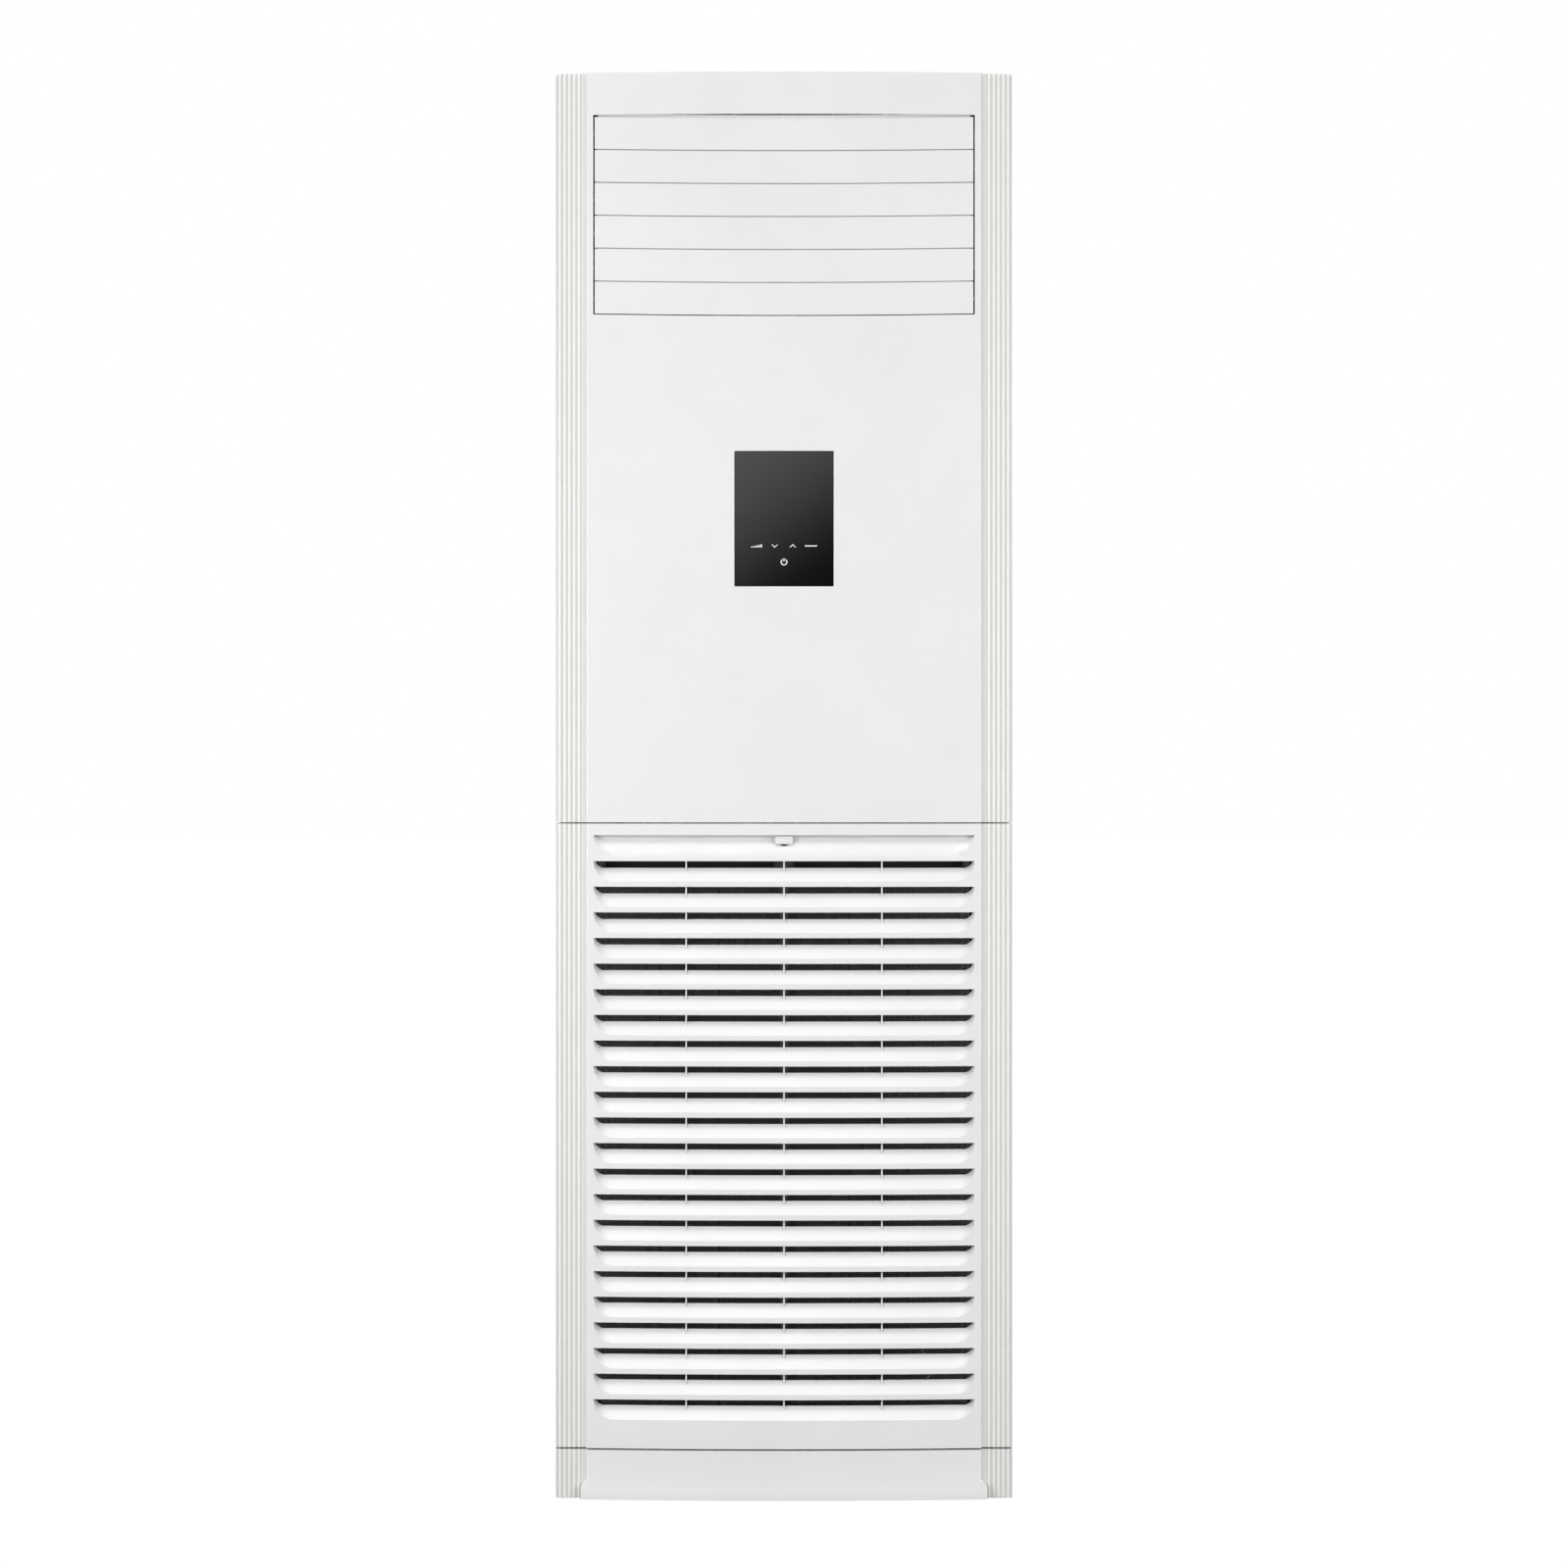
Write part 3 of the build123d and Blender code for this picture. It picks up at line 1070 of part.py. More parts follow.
def vane_motor():
    """Motor below the outlet frame, in line with the first vane."""
    place = (vane_x(1), VANE_Y)
    return stepper("Z", place, place, VANE_PIVOT_RADIUS, FRAME_BOTTOM - GAP, -1)


def vane(number):
    """Upright vane with its two pivots and the peg for the link bar."""
    x = vane_x(number)
    half = VANE_WALL / 2
    blade = block(x - half, x + half, VANE_Y - VANE_FRONT, VANE_Y + VANE_REAR, VANE_BOTTOM, VANE_TOP)
    blade += rod("Z", x, VANE_Y, VANE_BOSS_RADIUS, VANE_BOTTOM, VANE_TOP)
    low = FRAME_BOTTOM - (STEPPER_HOLE_DEPTH - OVER if number == 1 else 0.0)
    blade += rod("Z", x, VANE_Y, VANE_PIVOT_RADIUS, low, FRAME_TOP)
    peg_low, peg_high = VANE_LINK_Z - LINK_PLAY, VANE_BOTTOM + VANE_WALL
    return blade + rod("Z", x, VANE_Y - VANE_CRANK, VANE_PEG_RADIUS, peg_low, peg_high)


def vane_link_bar():
    """Bar that joins the pegs of the vanes."""
    y = VANE_Y - VANE_CRANK
    half = LINK_WIDTH / 2
    z0, z1 = VANE_LINK_Z, VANE_LINK_Z + LINK_WALL
    bar = block(vane_x(1) - LINK_END, vane_x(VANES) + LINK_END, y - half, y + half, z0, z1)
    for number in range(1, VANES + 1):
        bar -= rod("Z", vane_x(number), y, VANE_PEG_RADIUS + LINK_PLAY, z0 - OVER, z1 + OVER)
    return bar


# ---------------------------------------------------------------- blower
def scroll_face(grow):
    """Inside of the scroll from the front, drawn out by a wall: three growing quarter turns."""
    half = SCROLL_STEP / 2
    x1, z1 = BLOWER_X - half, BLOWER_Z - half
    x2, z3 = BLOWER_X + half, BLOWER_Z + half
    r1 = SCROLL_FIRST_RADIUS + grow
    r2, r3 = r1 + SCROLL_STEP, r1 + 2 * SCROLL_STEP
    tongue_x = x1 - grow
    top = z1 + sqrt(r1**2 - grow**2)
    start = (tongue_x, top)
    return make_face(
        [
            Line((x2 + r3, DECK_Z), (tongue_x, DECK_Z)),
            Line((tongue_x, DECK_Z), start),
            ThreePointArc(start, (x1 - r1 * DIAGONAL, z1 + r1 * DIAGONAL), (x1 - r1, z1)),
            ThreePointArc((x1 - r1, z1), (x2 - r2 * DIAGONAL, z1 - r2 * DIAGONAL), (x2, z1 - r2)),
            ThreePointArc((x2, z1 - r2), (x2 + r3 * DIAGONAL, z3 - r3 * DIAGONAL), (x2 + r3, z3)),
            Line((x2 + r3, z3), (x2 + r3, DECK_Z)),
        ]
    )


def scroll_half(plate, middle, hole):
    """Half of the scroll: a flat wall with its hole and half of the curved wall."""
    low, high = min(plate, middle), max(plate, middle)
    wall = upright(scroll_face(SCROLL_WALL), low, high)
    inner_low = low + SCROLL_WALL if plate < middle else low - OVER
    inner_high = high + OVER if plate < middle else high - SCROLL_WALL
    open_top = block(SCROLL_LEFT, SCROLL_RIGHT, inner_low, inner_high, DECK_Z - OVER, DECK_Z + OVER)
    body = wall - upright(scroll_face(0.0), inner_low, inner_high) - open_top
    return body - rod("Y", BLOWER_X, BLOWER_Z, hole, low - OVER, high + OVER)


def inlet_ring():
    """Bell mouth in front of the impeller."""
    y0 = SCROLL_FRONT
    y_out = y0 - INLET_WALL
    throat, wall, bell = INLET_THROAT, INLET_WALL, INLET_BELL
    end = y_out + INLET_LENGTH
    section = make_face(
        [
            Line((INLET_RADIUS, y0), (INLET_RADIUS, y_out)),
            Line((INLET_RADIUS, y_out), (throat + bell, y_out)),
            ThreePointArc(
                (throat + bell, y_out),
                (throat + bell * (1 - DIAGONAL), y_out + bell * (1 - DIAGONAL)),
                (throat, y_out + bell),
            ),
            Line((throat, y_out + bell), (throat, end)),
            Line((throat, end), (throat + wall, end)),
            Line((throat + wall, end), (throat + wall, y_out + bell)),
            ThreePointArc(
                (throat + wall, y_out + bell),
                (throat + bell - (bell - wall) * DIAGONAL, y_out + bell - (bell - wall) * DIAGONAL),
                (throat + bell, y0),
            ),
            Line((throat + bell, y0), (INLET_RADIUS, y0)),
        ]
    )
    return Pos(BLOWER_X, 0, BLOWER_Z) * revolve(section, axis=Axis.Y, revolution_arc=360)


def impeller():
    """Squirrel cage with forward curved blades, a front ring, a rear disc and a hub."""
    inner, outer = IMPELLER_BORE + OVER, IMPELLER_RADIUS - OVER / 2
    blade = trace(RadiusArc((inner, -BLADE_LEAN), (outer, BLADE_LEAN), BLADE_CURVE), IMPELLER_BLADE_WALL)
    cage = Sketch()
    for number in range(IMPELLER_BLADES):
        cage += Rot(0, 0, number * 360 / IMPELLER_BLADES) * blade
    body = upright(cage, IMPELLER_FRONT, IMPELLER_REAR - OVER)
    ring = Circle(IMPELLER_RADIUS + OVER) - Circle(IMPELLER_BORE)
    body += upright(ring, IMPELLER_FRONT, IMPELLER_FRONT + IMPELLER_RING)
    body += rod("Y", 0, 0, IMPELLER_RADIUS, IMPELLER_REAR - IMPELLER_DISC, IMPELLER_REAR)
    body += rod("Y", 0, 0, HUB_RADIUS, IMPELLER_REAR - HUB_LENGTH, IMPELLER_REAR)
    body -= rod("Y", 0, 0, SHAFT_RADIUS, IMPELLER_REAR - HUB_LENGTH - OVER, IMPELLER_REAR + OVER)
    return Pos(BLOWER_X, 0, BLOWER_Z) * body


def motor_shaft():
    """Shaft of the fan motor, with the flat of its nut end."""
    hub = IMPELLER_REAR - HUB_LENGTH
    rear = MOTOR_FRONT + MOTOR_LENGTH / 2
    shaft = rod("Y", BLOWER_X, BLOWER_Z, SHAFT_RADIUS, hub - 2 * SHAFT_RADIUS, rear)
    nut = upright(RegularPolygon(SHAFT_NUT, 6), hub - SHAFT_RADIUS, hub)
    return shaft + Pos(BLOWER_X, 0, BLOWER_Z) * nut


def fan_motor():
    """Finned fan motor with its mounting flange."""
    y0, y1 = MOTOR_FRONT, MOTOR_FRONT + MOTOR_LENGTH
    body = rod("Y", 0, 0, MOTOR_RADIUS, y0, y1)
    flange_y = BRACKET_FACE + BRACKET_WALL
    rear = flange_y + MOTOR_FLANGE
    half = MOTOR_GROOVE / 2
    deep = MOTOR_RADIUS - MOTOR_GROOVE
    for number in range(MOTOR_FINS):
        groove = block(-half, half, rear + MOTOR_END, y1 - MOTOR_END, deep, MOTOR_RADIUS + OVER)
        body -= Rot(0, number * 360 / MOTOR_FINS, 0) * groove
    body += rod("Y", 0, 0, MOTOR_FLANGE_RADIUS, flange_y, rear)
    body -= rod("Y", 0, 0, SHAFT_RADIUS + PIN_PLAY, y0 - OVER, y0 + MOTOR_LENGTH / 2 + GAP)
    return Pos(BLOWER_X, 0, BLOWER_Z) * body


def motor_bracket():
    """Upright bracket behind the scroll that carries the motor."""
    y0, y1 = BRACKET_FACE, BRACKET_FACE + BRACKET_WALL
    x0, x1 = BLOWER_X - BRACKET_HALF, BLOWER_X + BRACKET_HALF
    low = PAN_SHEET
    bracket = block(x0, x1, y0, y1, low, BRACKET_TOP)
    bracket += block(x0, x1, y0, y0 + BRACKET_FLANGE, low, low + BRACKET_WALL)
    for x in (x0, x1 - BRACKET_WALL):
        bracket += block(x, x + BRACKET_WALL, y0, y0 + BRACKET_FLANGE, low, BRACKET_TOP)
    return bracket - rod("Y", BLOWER_X, BLOWER_Z, MOTOR_RADIUS + MOTOR_HOLE_PLAY, y0 - OVER, y1 + OVER)


def blower_deck():
    """Sheet between the blower and the coil, open over the scroll and at the pipes."""
    y0, y1 = DECK_FRONT, Y_INSIDE
    deck = block(-X_INSIDE, X_INSIDE, y0, y1, DECK_Z, DECK_TOP)
    for x in (-X_INSIDE, X_INSIDE - SHEET):
        deck += block(x, x + SHEET, y0, y1, DECK_Z - DECK_FLANGE, DECK_Z)
    low, high = DECK_Z - DECK_FLANGE - OVER, DECK_TOP + OVER
    mouth_front, mouth_rear = SCROLL_FRONT + SCROLL_WALL, SCROLL_REAR - SCROLL_WALL
    deck -= block(SCROLL_LEFT, SCROLL_RIGHT, mouth_front, mouth_rear, low, high)
    deck -= block(X_INSIDE - PIPE_NOTCH, X_INSIDE + OVER, y1 - PIPE_NOTCH_DEPTH, y1 + OVER, low, high)
    return deck - rod("Z", DRAIN_X, DRAIN_Y, DRAIN_RADIUS + DRAIN_PLAY, low, high)


# ---------------------------------------------------------------- coil
def coil_frame():
    """Place of the tilted coil; its local Z runs up along the slab."""
    return Pos(0, COIL_Y, COIL_Z) * Rot(-COIL_TILT, 0, 0)


def coil_fins():
    """Fin pack of the coil: a core with upright fins on both faces."""
    count = int((COIL_RIGHT - COIL_LEFT) / FIN_PITCH)
    core = COIL_THICKNESS - 2 * FIN_DEPTH
    middle = (COIL_LEFT + COIL_RIGHT) / 2
    comb = Pos(middle, 0) * Rectangle(COIL_RIGHT - COIL_LEFT, core)
    for number in range(count):
        comb += Pos(COIL_LEFT + (number + 0.5) * FIN_PITCH, 0) * Rectangle(FIN, COIL_THICKNESS)
    return coil_frame() * level(comb, -COIL_LENGTH / 2, COIL_LENGTH / 2)


def coil_end_plates():
    """Steel plates at both ends of the fins: they stand in the drain pan and lean on the liner."""
    half = END_PLATE_WIDTH / 2
    top = COIL_LENGTH / 2 + END_PLATE
    pan_front = PAN_FRONT + PAN_WALL + GAP
    wall = LINER_BACK - LINER_WALL - GAP
    arm_y, arm_z = coil_point(COIL_LENGTH / 2 - END_PLATE_WIDTH)
    plates = []
    for x in (COIL_LEFT - END_PLATE, COIL_RIGHT):
        plate = coil_frame() * block(x, x + END_PLATE, -half, half, -COIL_LENGTH, top)
        plate &= block(x - OVER, x + END_PLATE + OVER, pan_front, wall, PAN_FLOOR + GAP, HEIGHT)
        plates.append(plate + block(x, x + END_PLATE, arm_y, wall, arm_z, arm_z + END_PLATE_ARM))
    return Compound(children=plates)


def coil_bends():
    """Copper return bends outside both end plates."""
    bends = []
    hairpin = revolve(Pos(BEND_RADIUS, 0) * Circle(BEND_TUBE), axis=Axis.Y, revolution_arc=180)
    hairpin += rod("Z", BEND_RADIUS, 0, BEND_TUBE, 0, BEND_STUB)
    hairpin += rod("Z", -BEND_RADIUS, 0, BEND_TUBE, 0, BEND_STUB)
    hairpin = Rot(0, 90, 0) * hairpin
    first = -(BENDS_IN_ROW - 1) / 2 * BEND_PITCH  # the two rows are staggered by half a pitch
    for row in range(BEND_ROWS):
        y = (row - 0.5) * COIL_THICKNESS / 2
        for number in range(BENDS_IN_ROW):
            z = first + (number + row * 0.5 - 0.25) * BEND_PITCH
            left = Pos(COIL_LEFT - END_PLATE - BEND_STUB, y, z) * hairpin
            bends.append(coil_frame() * left)
            right = Pos(COIL_RIGHT + END_PLATE + BEND_STUB, y, z) * Rot(0, 0, 180) * hairpin
            if row == 1 or min(abs(z + COIL_LENGTH / 2 - up) for up in (GAS_UP, LIQUID_UP)) > BEND_PITCH:
                bends.append(coil_frame() * right)
    return Compound(children=bends)


def coil_cover():
    """Sheet in front of the coil, between the rail and the outlet frame."""
    y0 = Y_PAN
    x = X_SIDE - SHEET - GAP
    return block(-x, x, y0, y0 + SHEET, RAIL_TOP + GAP, FRAME_BOTTOM - GAP)


def drain_pan():
    """Trough below the coil, with a drain hole at its right end."""
    y0, y1 = PAN_FRONT, PAN_FRONT + PAN_DEPTH
    pan = block(PAN_LEFT, PAN_RIGHT, y0, y1, DECK_TOP, DECK_TOP + PAN_HEIGHT)
    pan -= block(PAN_LEFT + PAN_WALL, PAN_RIGHT - PAN_WALL, y0 + PAN_WALL, y1 - PAN_WALL, PAN_FLOOR, HEIGHT)
    return pan - rod("Z", DRAIN_X, DRAIN_Y, DRAIN_BORE, DECK_TOP - OVER, PAN_FLOOR + OVER)


def drain_tube():
    """Stiff tube from the drain pan down and back to its free end by the pipe port."""
    points = [(DRAIN_X, DRAIN_Y, DECK_TOP), (DRAIN_X, DRAIN_Y, PORT_Z), (DRAIN_X, DRAIN_END_Y, PORT_Z)]
    outside = bent_pipe(points, DRAIN_RADIUS, DRAIN_BEND)
    return outside - bent_pipe(points, DRAIN_BORE, DRAIN_BEND)


def duct_liner():
    """Foam liner round the coil and the outlet: two sides, back and top."""
    x_out = X_INSIDE
    x_in = x_out - LINER_WALL
    y0 = Y_PAN + FRAME_WALL + GAP
    y1 = LINER_BACK
    z0, z1 = DECK_TOP, SIDE_TOP - LINER_TOP_GAP
    liner = block(-x_out, x_out, y0, y1, z0, z1)
    return liner - block(-x_in, x_in, y0 - OVER, y1 - LINER_WALL, z0 - OVER, z1 - LINER_WALL)


# ---------------------------------------------------------------- pipes and electrics
def bent_pipe(points, radius, bend):
    """Round pipe along straight runs with equal bends."""
    path = FilletPolyline(*points, radius=bend)
    start = Plane(origin=path @ 0, z_dir=path % 0)
    return sweep(start * Circle(radius), path=path)


def coil_point(up, across=0.0):
    """Depth and height of a point of the coil, up along the slab and across its thickness."""
    tilt = radians(COIL_TILT)
    return COIL_Y + up * sin(tilt) + across * cos(tilt), COIL_Z + up * cos(tilt) - across * sin(tilt)


def coil_pipe(up, x, y, radius):
    """Pipe from the front row of the right end plate to the back and down to its union."""
    y0, z0 = coil_point(up - COIL_LENGTH / 2, -COIL_THICKNESS / 4)
    points = [(COIL_RIGHT + END_PLATE, y0, z0), (x, y0, z0), (x, y, z0), (x, y, PIPE_END)]
    return bent_pipe(points, radius, PIPE_BEND)


def flare_unions():
    """Brass unions on the free ends of both pipes, with the nut and the threaded end."""
    unions = []
    for x, y, radius in ((GAS_X, GAS_Y, GAS_RADIUS), (LIQUID_X, LIQUID_Y, LIQUID_RADIUS)):
        foot = PIPE_END - UNION_NUT
        nut = level(Pos(x, y) * RegularPolygon(radius + UNION_NUT_WALL, 6), foot, PIPE_END)
        unions.append(nut + rod("Z", x, y, radius * UNION_THREAD_SHARE, foot - UNION_THREAD, foot))
    return Compound(children=unions)


def pipe_grommet():
    """Rubber ring in the pipe port of the rear panel."""
    ring = rod("Y", PORT_X, PORT_Z, PORT_RADIUS, Y_BACK - SHEET, Y_BACK)
    ring += rod("Y", PORT_X, PORT_Z, GROMMET_RIM, Y_BACK, Y_BACK + GROMMET_LIP)
    ring += rod("Y", PORT_X, PORT_Z, GROMMET_RIM, Y_BACK - SHEET - GROMMET_LIP, Y_BACK - SHEET)
    return ring - rod("Y", PORT_X, PORT_Z, GROMMET_BORE, Y_INSIDE - GROMMET_LIP, Y_REAR + OVER)


def control_box():
    """Steel box of the electrics on the right side panel, open at the front."""
    y1 = BOX_FRONT + BOX_DEPTH
    z0, z1 = BOX_BOTTOM, BOX_TOP
    box = block(BOX_LEFT, BOX_RIGHT, BOX_FRONT, y1, z0, z1)
    box -= block(BOX_LEFT + SHEET, BOX_RIGHT - SHEET, BOX_FRONT - OVER, y1 - SHEET, z0 + SHEET, z1 - SHEET)
    hole = GLAND_RADIUS + GAP
    return box - rod("Z", GLAND_X, GLAND_Y, hole, BOX_BOTTOM - OVER, BOX_BOTTOM + SHEET + OVER)


def control_box_lid():
    """Lid on the front of the control box."""
    face = BOX_FRONT - LID_WALL
    lid = block(BOX_LEFT, BOX_RIGHT, face, BOX_FRONT, BOX_BOTTOM, BOX_TOP)
    x0, x1, z = BOX_LEFT + 2 * FLANGE, BOX_RIGHT - 2 * FLANGE, BOX_TOP - FLANGE
    return lid + block(x0, x1, face - LID_GRIP, face, z, z + LID_GRIP)


def circuit_board():
    """Main board with its tall parts, on four posts."""
    y1 = BOX_FRONT + BOX_DEPTH - SHEET
    y0 = y1 - CIRCUIT_GAP
    x0, x1 = BOX_LEFT + SHEET + CIRCUIT_MARGIN, BOX_RIGHT - SHEET - CIRCUIT_MARGIN
    z1 = BOX_TOP - SHEET - CIRCUIT_MARGIN
    board = block(x0, x1, y0 - BOARD, y0, CIRCUIT_BOTTOM, z1)
    for x in (x0 + CIRCUIT_MARGIN / 2, x1 - CIRCUIT_MARGIN / 2):
        for z in (CIRCUIT_BOTTOM + CIRCUIT_MARGIN / 2, z1 - CIRCUIT_MARGIN / 2):
            board += rod("Y", x, z, POST_RADIUS, y0 - BOARD, y1)
    middle = (x0 + x1) / 2
    for across, radius, height in CAPACITORS:
        board += rod("Y", middle + across, CIRCUIT_BOTTOM + CAPACITOR_UP, radius, y0 - height, y0 - BOARD)
    wide, deep, tall = TRANSFORMER
    z1 -= tall
    return board + block(middle - wide / 2, middle + wide / 2, y0 - deep, y0 - BOARD, z1 - tall, z1)


def terminal_block():
    """Row of screw terminals for the supply and the outdoor unit."""
    y1 = BOX_FRONT + BOX_DEPTH - SHEET
    length = TERMINALS * TERMINAL_PITCH
    x0 = (BOX_LEFT + BOX_RIGHT - length) / 2
    y0, z0 = y1 - TERMINAL_DEPTH, TERMINAL_BOTTOM
    body = block(x0, x0 + length, y0, y1, z0, z0 + TERMINAL_HEIGHT)
    deep = y1 - TERMINAL_DEPTH / 2
    for number in range(TERMINALS):
        place = (x0 + (number + 0.5) * TERMINAL_PITCH, z0 + TERMINAL_HEIGHT / 2)
        body -= rod("Y", *place, TERMINAL_WELL, y0 - OVER, deep)
        body += rod("Y", *place, TERMINAL_SCREW, y0 + TERMINAL_DROP, deep)
    return body


def cable_gland():
    """Gland for the supply cable in the floor of the control box."""
    z0 = BOX_BOTTOM
    low, high = z0 - GLAND_LENGTH, z0 + SHEET + GLAND_INSIDE
    gland = rod("Z", GLAND_X, GLAND_Y, GLAND_RADIUS, low, high)
    gland += level(Pos(GLAND_X, GLAND_Y) * RegularPolygon(GLAND_NUT, 6), z0 - GLAND_LENGTH / 2, z0)
    return gland - rod("Z", GLAND_X, GLAND_Y, GLAND_BORE, low - OVER, high + OVER)


# ---------------------------------------------------------------- export
def pieces():
    """Every node of the model by name."""
    right_side, right_filter = side_panel(), filter_screen()
    nodes = {
        "base_pan": base_pan(),
        "left_side_panel": mirror(right_side, about=Plane.YZ),
        "right_side_panel": right_side,
        "rear_panel": rear_panel(),
        "top_cover": top_cover(),
        "cabinet_screws": cabinet_screws(),
        "centre_rail": centre_rail(),
        "upper_front_panel": upper_front_panel(),
        "display_glass": display_glass(),
        "display_board": display_board(),
        "intake_grille": intake_grille(),
        "latch_tab": latch_tab(),
        "left_filter": mirror(right_filter, about=Plane.YZ),
        "right_filter": right_filter,
        "hinge_brackets": hinge_brackets(),
        "plinth": plinth(),
        "outlet_frame": outlet_frame(),
        "louvre_bushes": louvre_bushes(),
        "louvre_link_bar": louvre_link_bar(),
        "louvre_motor": louvre_motor(),
        "vane_link_bar": vane_link_bar(),
        "vane_motor": vane_motor(),
        "scroll_front": scroll_half(SCROLL_FRONT, SCROLL_MIDDLE, SCROLL_HOLE),
        "scroll_rear": scroll_half(SCROLL_REAR, SCROLL_MIDDLE, MOTOR_RADIUS + MOTOR_HOLE_PLAY),
        "inlet_ring": inlet_ring(),
        "impeller": impeller(),
        "motor_shaft": motor_shaft(),
        "fan_motor": fan_motor(),
        "motor_bracket": motor_bracket(),
        "blower_deck": blower_deck(),
        "coil_fins": coil_fins(),
        "coil_end_plates": coil_end_plates(),
        "coil_bends": coil_bends(),
        "coil_cover": coil_cover(),
        "drain_pan": drain_pan(),
        "drain_tube": drain_tube(),
        "duct_liner": duct_liner(),
        "gas_pipe": coil_pipe(GAS_UP, GAS_X, GAS_Y, GAS_RADIUS),
        "liquid_pipe": coil_pipe(LIQUID_UP, LIQUID_X, LIQUID_Y, LIQUID_RADIUS),
        "flare_unions": flare_unions(),
        "pipe_grommet": pipe_grommet(),
        "control_box": control_box(),
        "control_box_lid": control_box_lid(),
        "circuit_board": circuit_board(),
        "terminal_block": terminal_block(),
        "cable_gland": cable_gland(),
    }
    for number in range(1, LOUVRES + 1):
        nodes[f"louvre_{number}"] = louvre(number)
    for number in range(1, VANES + 1):
        nodes[f"vane_{number}"] = vane(number)
    return nodes


os.makedirs("parts", exist_ok=True)
for name, piece in pieces().items():
    export_step(piece, f"parts/{name}.step")
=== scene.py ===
"""Looks of the floor standing air conditioner: edges, finishes, light and camera."""

import json
import logging
import math
from dataclasses import dataclass, field
from enum import Enum

import bmesh
import bpy
from bmesh.types import BMEdge, BMesh, BMVert
from bpy.types import Material, Node, NodeSocket, Object, World
from mathutils import Matrix, Vector


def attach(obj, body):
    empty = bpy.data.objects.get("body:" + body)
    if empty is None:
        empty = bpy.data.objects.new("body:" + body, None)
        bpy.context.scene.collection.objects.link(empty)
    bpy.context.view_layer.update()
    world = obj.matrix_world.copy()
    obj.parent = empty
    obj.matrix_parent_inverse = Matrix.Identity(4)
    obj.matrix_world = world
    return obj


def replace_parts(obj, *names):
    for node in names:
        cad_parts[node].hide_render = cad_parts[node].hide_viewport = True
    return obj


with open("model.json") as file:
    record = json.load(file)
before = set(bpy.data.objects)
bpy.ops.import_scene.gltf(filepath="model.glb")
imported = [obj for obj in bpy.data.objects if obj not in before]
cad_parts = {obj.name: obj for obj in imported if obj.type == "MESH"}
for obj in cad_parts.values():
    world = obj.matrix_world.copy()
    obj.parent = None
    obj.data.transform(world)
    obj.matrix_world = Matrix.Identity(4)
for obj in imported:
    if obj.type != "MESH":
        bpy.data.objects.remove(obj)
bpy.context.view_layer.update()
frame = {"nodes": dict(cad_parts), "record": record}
LOG = logging.getLogger("air_conditioner")

MM = 0.001
WELD = 1e-6  # metres
FLAT = math.radians(0.2)  # facets closer than this are one flat face
CRISP = math.radians(32.0)  # edges sharper than this aren't shaded smooth
WAVE_PERIOD = math.tau / 20  # of Blender's bands at scale 1
PANEL_RADIUS_MM = 3307.45  # crown of the front, seen from above
PANEL_FRONT_MM = -190.0
GLASS_WIDTH_MM, GLASS_HEIGHT_MM, GLASS_MIDDLE_MM = 128.2, 175.0, 1271.0  # of the display

# sockets of a Mix node: its share, two numbers, two colours, and the colour that comes out
SHARE, NUMBER_LOW, NUMBER_HIGH, COLOUR_LOW, COLOUR_HIGH, COLOUR_OUT = 0, 2, 3, 6, 7, 2

Pattern = Node | NodeSocket  # a node stands for its first output


def linear(code: str) -> tuple[float, float, float, float]:
    """Turn an sRGB hex colour into a linear one.

    Args:
        code: The colour, such as "#EDEDEC".

    Returns:
        Linear red, green, blue and an alpha of 1.
    """
    parts = [int(code[i : i + 2], 16) / 255 for i in (1, 3, 5)]
    red, green, blue = [p / 12.92 if p <= 0.04045 else ((p + 0.055) / 1.055) ** 2.4 for p in parts]
    return red, green, blue, 1.0


def crown_y(x: float, inset_mm: float = 0.0) -> float:
    """Depth of the crowned front at a place across it.

    Args:
        x: Place across the front, in metres.
        inset_mm: How far behind the face, in millimetres.

    Returns:
        Y in metres.
    """
    radius = PANEL_RADIUS_MM * MM
    behind = inset_mm * MM
    return PANEL_FRONT_MM * MM + radius - math.sqrt((radius - behind) ** 2 - x**2)


@dataclass
class NodeWork:
    """Nodes of a material or of the world, in the making."""

    owner: Material | World
    place: NodeSocket | None = None  # Object coordinates, in metres
    shader: Node | None = None  # the surface shader to feed

    def __post_init__(self) -> None:
        """Start from an empty tree."""
        self.owner.use_nodes = True
        self.owner.node_tree.nodes.clear()

    def link(self, source: Pattern, target: NodeSocket) -> None:
        """Link a pattern to a socket.

        Args:
            source: The pattern.
            target: The socket that takes it.
        """
        out = source.outputs[0] if isinstance(source, Node) else source
        self.owner.node_tree.links.new(out, target)

    def add(
        self, kind: str, inputs: dict | None = None, size_mm: float = 0.0, **settings: object
    ) -> Node:
        """Add a node with its settings and links.

        Args:
            kind: Blender's name of the node.
            inputs: A value or a pattern for each socket, by name or number.
            size_mm: For a texture, what its pattern really measures, in millimetres.
            **settings: The node's own options.

        Returns:
            The new node.
        """
        node = self.owner.node_tree.nodes.new(kind)
        for name, value in settings.items():
            setattr(node, name, value)
        scaled = {"Vector": self.place, "Scale": 1 / (size_mm * MM)} if size_mm else {}
        for socket, value in {**scaled, **(inputs or {})}.items():
            if isinstance(value, Pattern):
                self.link(value, node.inputs[socket])
            else:
                node.inputs[socket].default_value = value
        return node


# ------------------------------------ finishes


